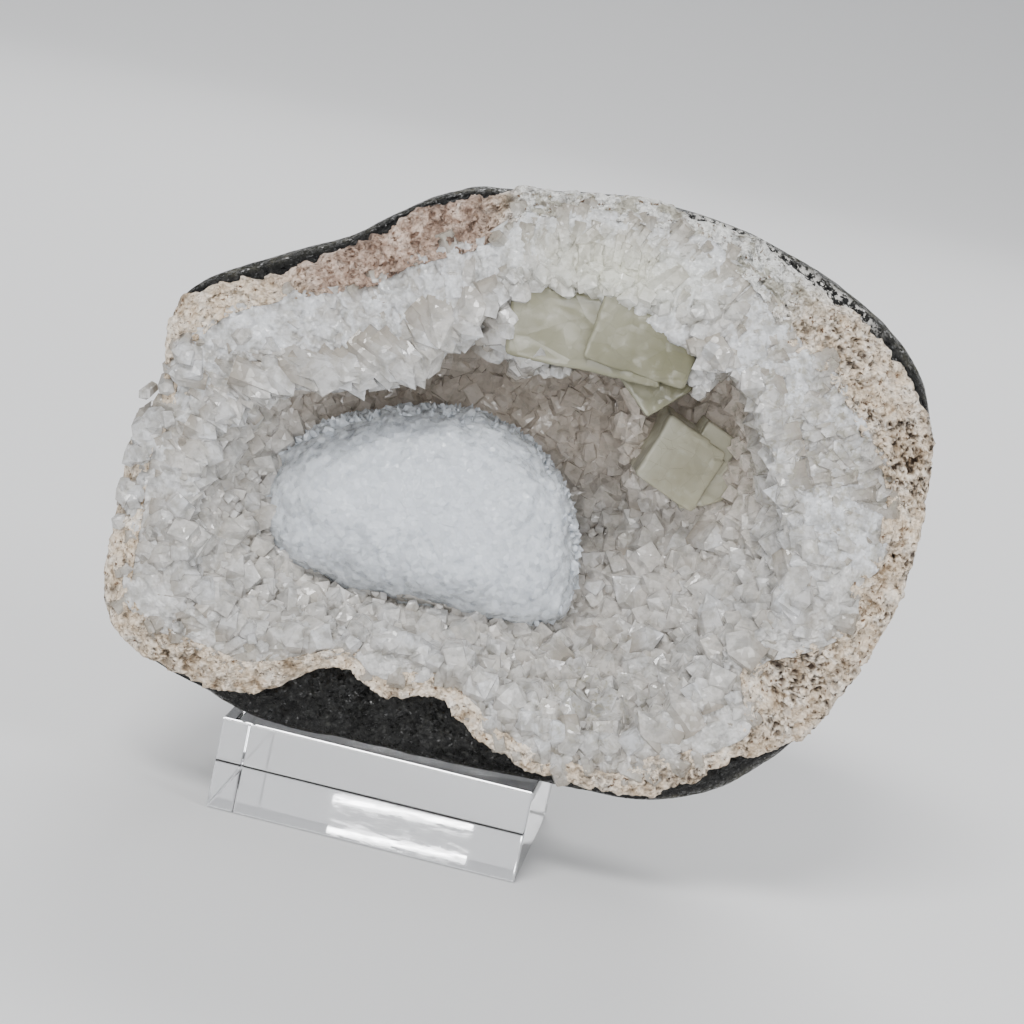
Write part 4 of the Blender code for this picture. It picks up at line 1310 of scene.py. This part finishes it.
studio = {
    "floor": (0.84, 0.84, 0.84),
    "reach": 14.0,  # how far the floor runs to each side and to the front, in metres
    "level": 1.6,  # where the floor starts to curve up behind the stone
    "curve": 1.2,
    "wallTop": 5.0,
    "below": 0.00005,  # gap that keeps the floor's face off the block's
    "world": (0.94, 0.96, 1.0, 1.0),
    "worldStrength": 0.42,
    "target": (0, 0, 0.06),
    # name, place, width and height, watts and colour
    "lamps": [
        ("key", (-0.5, -1.3, 1.8), (0.8, 0.5), 34.0, (1, 1, 1)),
        ("fill", (-0.1, -1.7, 0.5), (0.9, 0.7), 15.0, (1, 1, 1)),
        ("side", (1.7, -0.9, 0.8), (0.8, 1.0), 15.0, (0.95, 0.97, 1.0)),
        ("rimLight", (0.2, 1.3, 1.3), (1.4, 0.5), 20.0, (1, 1, 1)),
    ],
    # the two thin lamps behind the block whose light makes the stripes on its front
    "stripHeights": (0.2030, 0.2170),
    "stripPlace": (-0.018, 0.62),
    "stripTarget": (-0.018, 0, 0.01),
    "stripSize": (0.06, 0.0022),
    "stripPower": 0.009,
}


# the floor runs back level, then curves up into a wall by a quarter circle
def makeStage():
    turn = np.radians(np.linspace(0, 90, 24))
    reach, curve = studio["reach"], studio["curve"]
    run = np.concatenate([[-reach], studio["level"] + curve * np.sin(turn), [studio["level"] + curve]])
    rise = np.concatenate([[0.0], curve * (1 - np.cos(turn)), [studio["wallTop"]]]) - studio["below"]
    side = np.linspace(-reach, reach, 2)
    points = np.stack(np.broadcast_arrays(side[None, :], run[:, None], rise[:, None]), -1)
    quads = np.arange(len(run) - 1)[:, None] * 2 + np.array([[0, 1, 3, 2]])
    finish = plainMaterial("floor", studio["floor"], 0.8)
    meshObject("floor", points.reshape(-1, 3), quads, noTriangles, finish)
    world = bpy.data.worlds.new("studio")
    world.use_nodes = True
    world.node_tree.nodes["Background"].inputs["Color"].default_value = studio["world"]
    world.node_tree.nodes["Background"].inputs["Strength"].default_value = studio["worldStrength"]
    bpy.context.scene.world = world
    for name, place, size, power, colour in studio["lamps"]:
        areaLight(name, place, studio["target"], size, power, colour)
    for height in studio["stripHeights"]:
        areaLight("strip", (*studio["stripPlace"], height), studio["stripTarget"], studio["stripSize"],
                  studio["stripPower"])


# Build

makeCamera()
makeStage()
print("camera and stage done")

brokenQuartz = quartzMaterial("broken quartz", (0.0024, 0.2, 0.0009, 0.3), (0.12, 0.42))
crystalFinish = quartzMaterial("quartz crystal", (0.0030, 0.2, 0.0012, 0.2), (0.05, 0.22))
goosecreekiteFinish = goosecreekiteMaterial("goosecreekite", 0.5)
bladeFinish = goosecreekiteMaterial("goosecreekite blade", 0.0)
# one calcite finish in two tones: the upper is darker as painted shade, the lower lighter as painted light
upperCalciteShadedFinish = calciteMaterial("upper calcite", (0.26, 0.25, 0.155), (0.41, 0.398, 0.29))
lowerCalciteLitFinish = calciteMaterial("lower calcite", (0.56, 0.53, 0.38), (0.74, 0.72, 0.57))

parts = [
    (makeBasalt(basaltMaterial()), "basalt_matrix", "basalt"),
    (makeRind(rindMaterial()), "altered_rind", "altered_rock"),
    (makeHollow(crystalFinish), "quartz_crust", "quartz"),
    (makeRim(brokenQuartz), None, "quartz"),
    (makeHollowCrystals(crystalFinish), None, "quartz"),
    (makeRimCrystals(brokenQuartz), None, "quartz"),
    (makeBrowCrystals(crystalFinish), None, "quartz"),
    (makeOvergrowth(crystalFinish), None, "quartz"),
    (makeGlints(crystalFinish), None, "quartz"),
    (makeBall(goosecreekiteFinish), "goosecreekite_ball", "goosecreekite"),
    (makeBlades(bladeFinish), None, "goosecreekite"),
    (makeCalcite("calciteUpper", calciteUpper, upperCalciteShadedFinish, 81), "calcite_upper", "calcite"),
    (makeCalcite("calciteLower", calciteLower, lowerCalciteLitFinish, 91), "calcite_lower", "calcite"),
    (makeBlock(acrylicMaterial()), "display_block", "acrylic"),
]
for piece, node, slotName in parts:
    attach(piece, "root")
    if node:
        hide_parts(node)
print("pieces done")
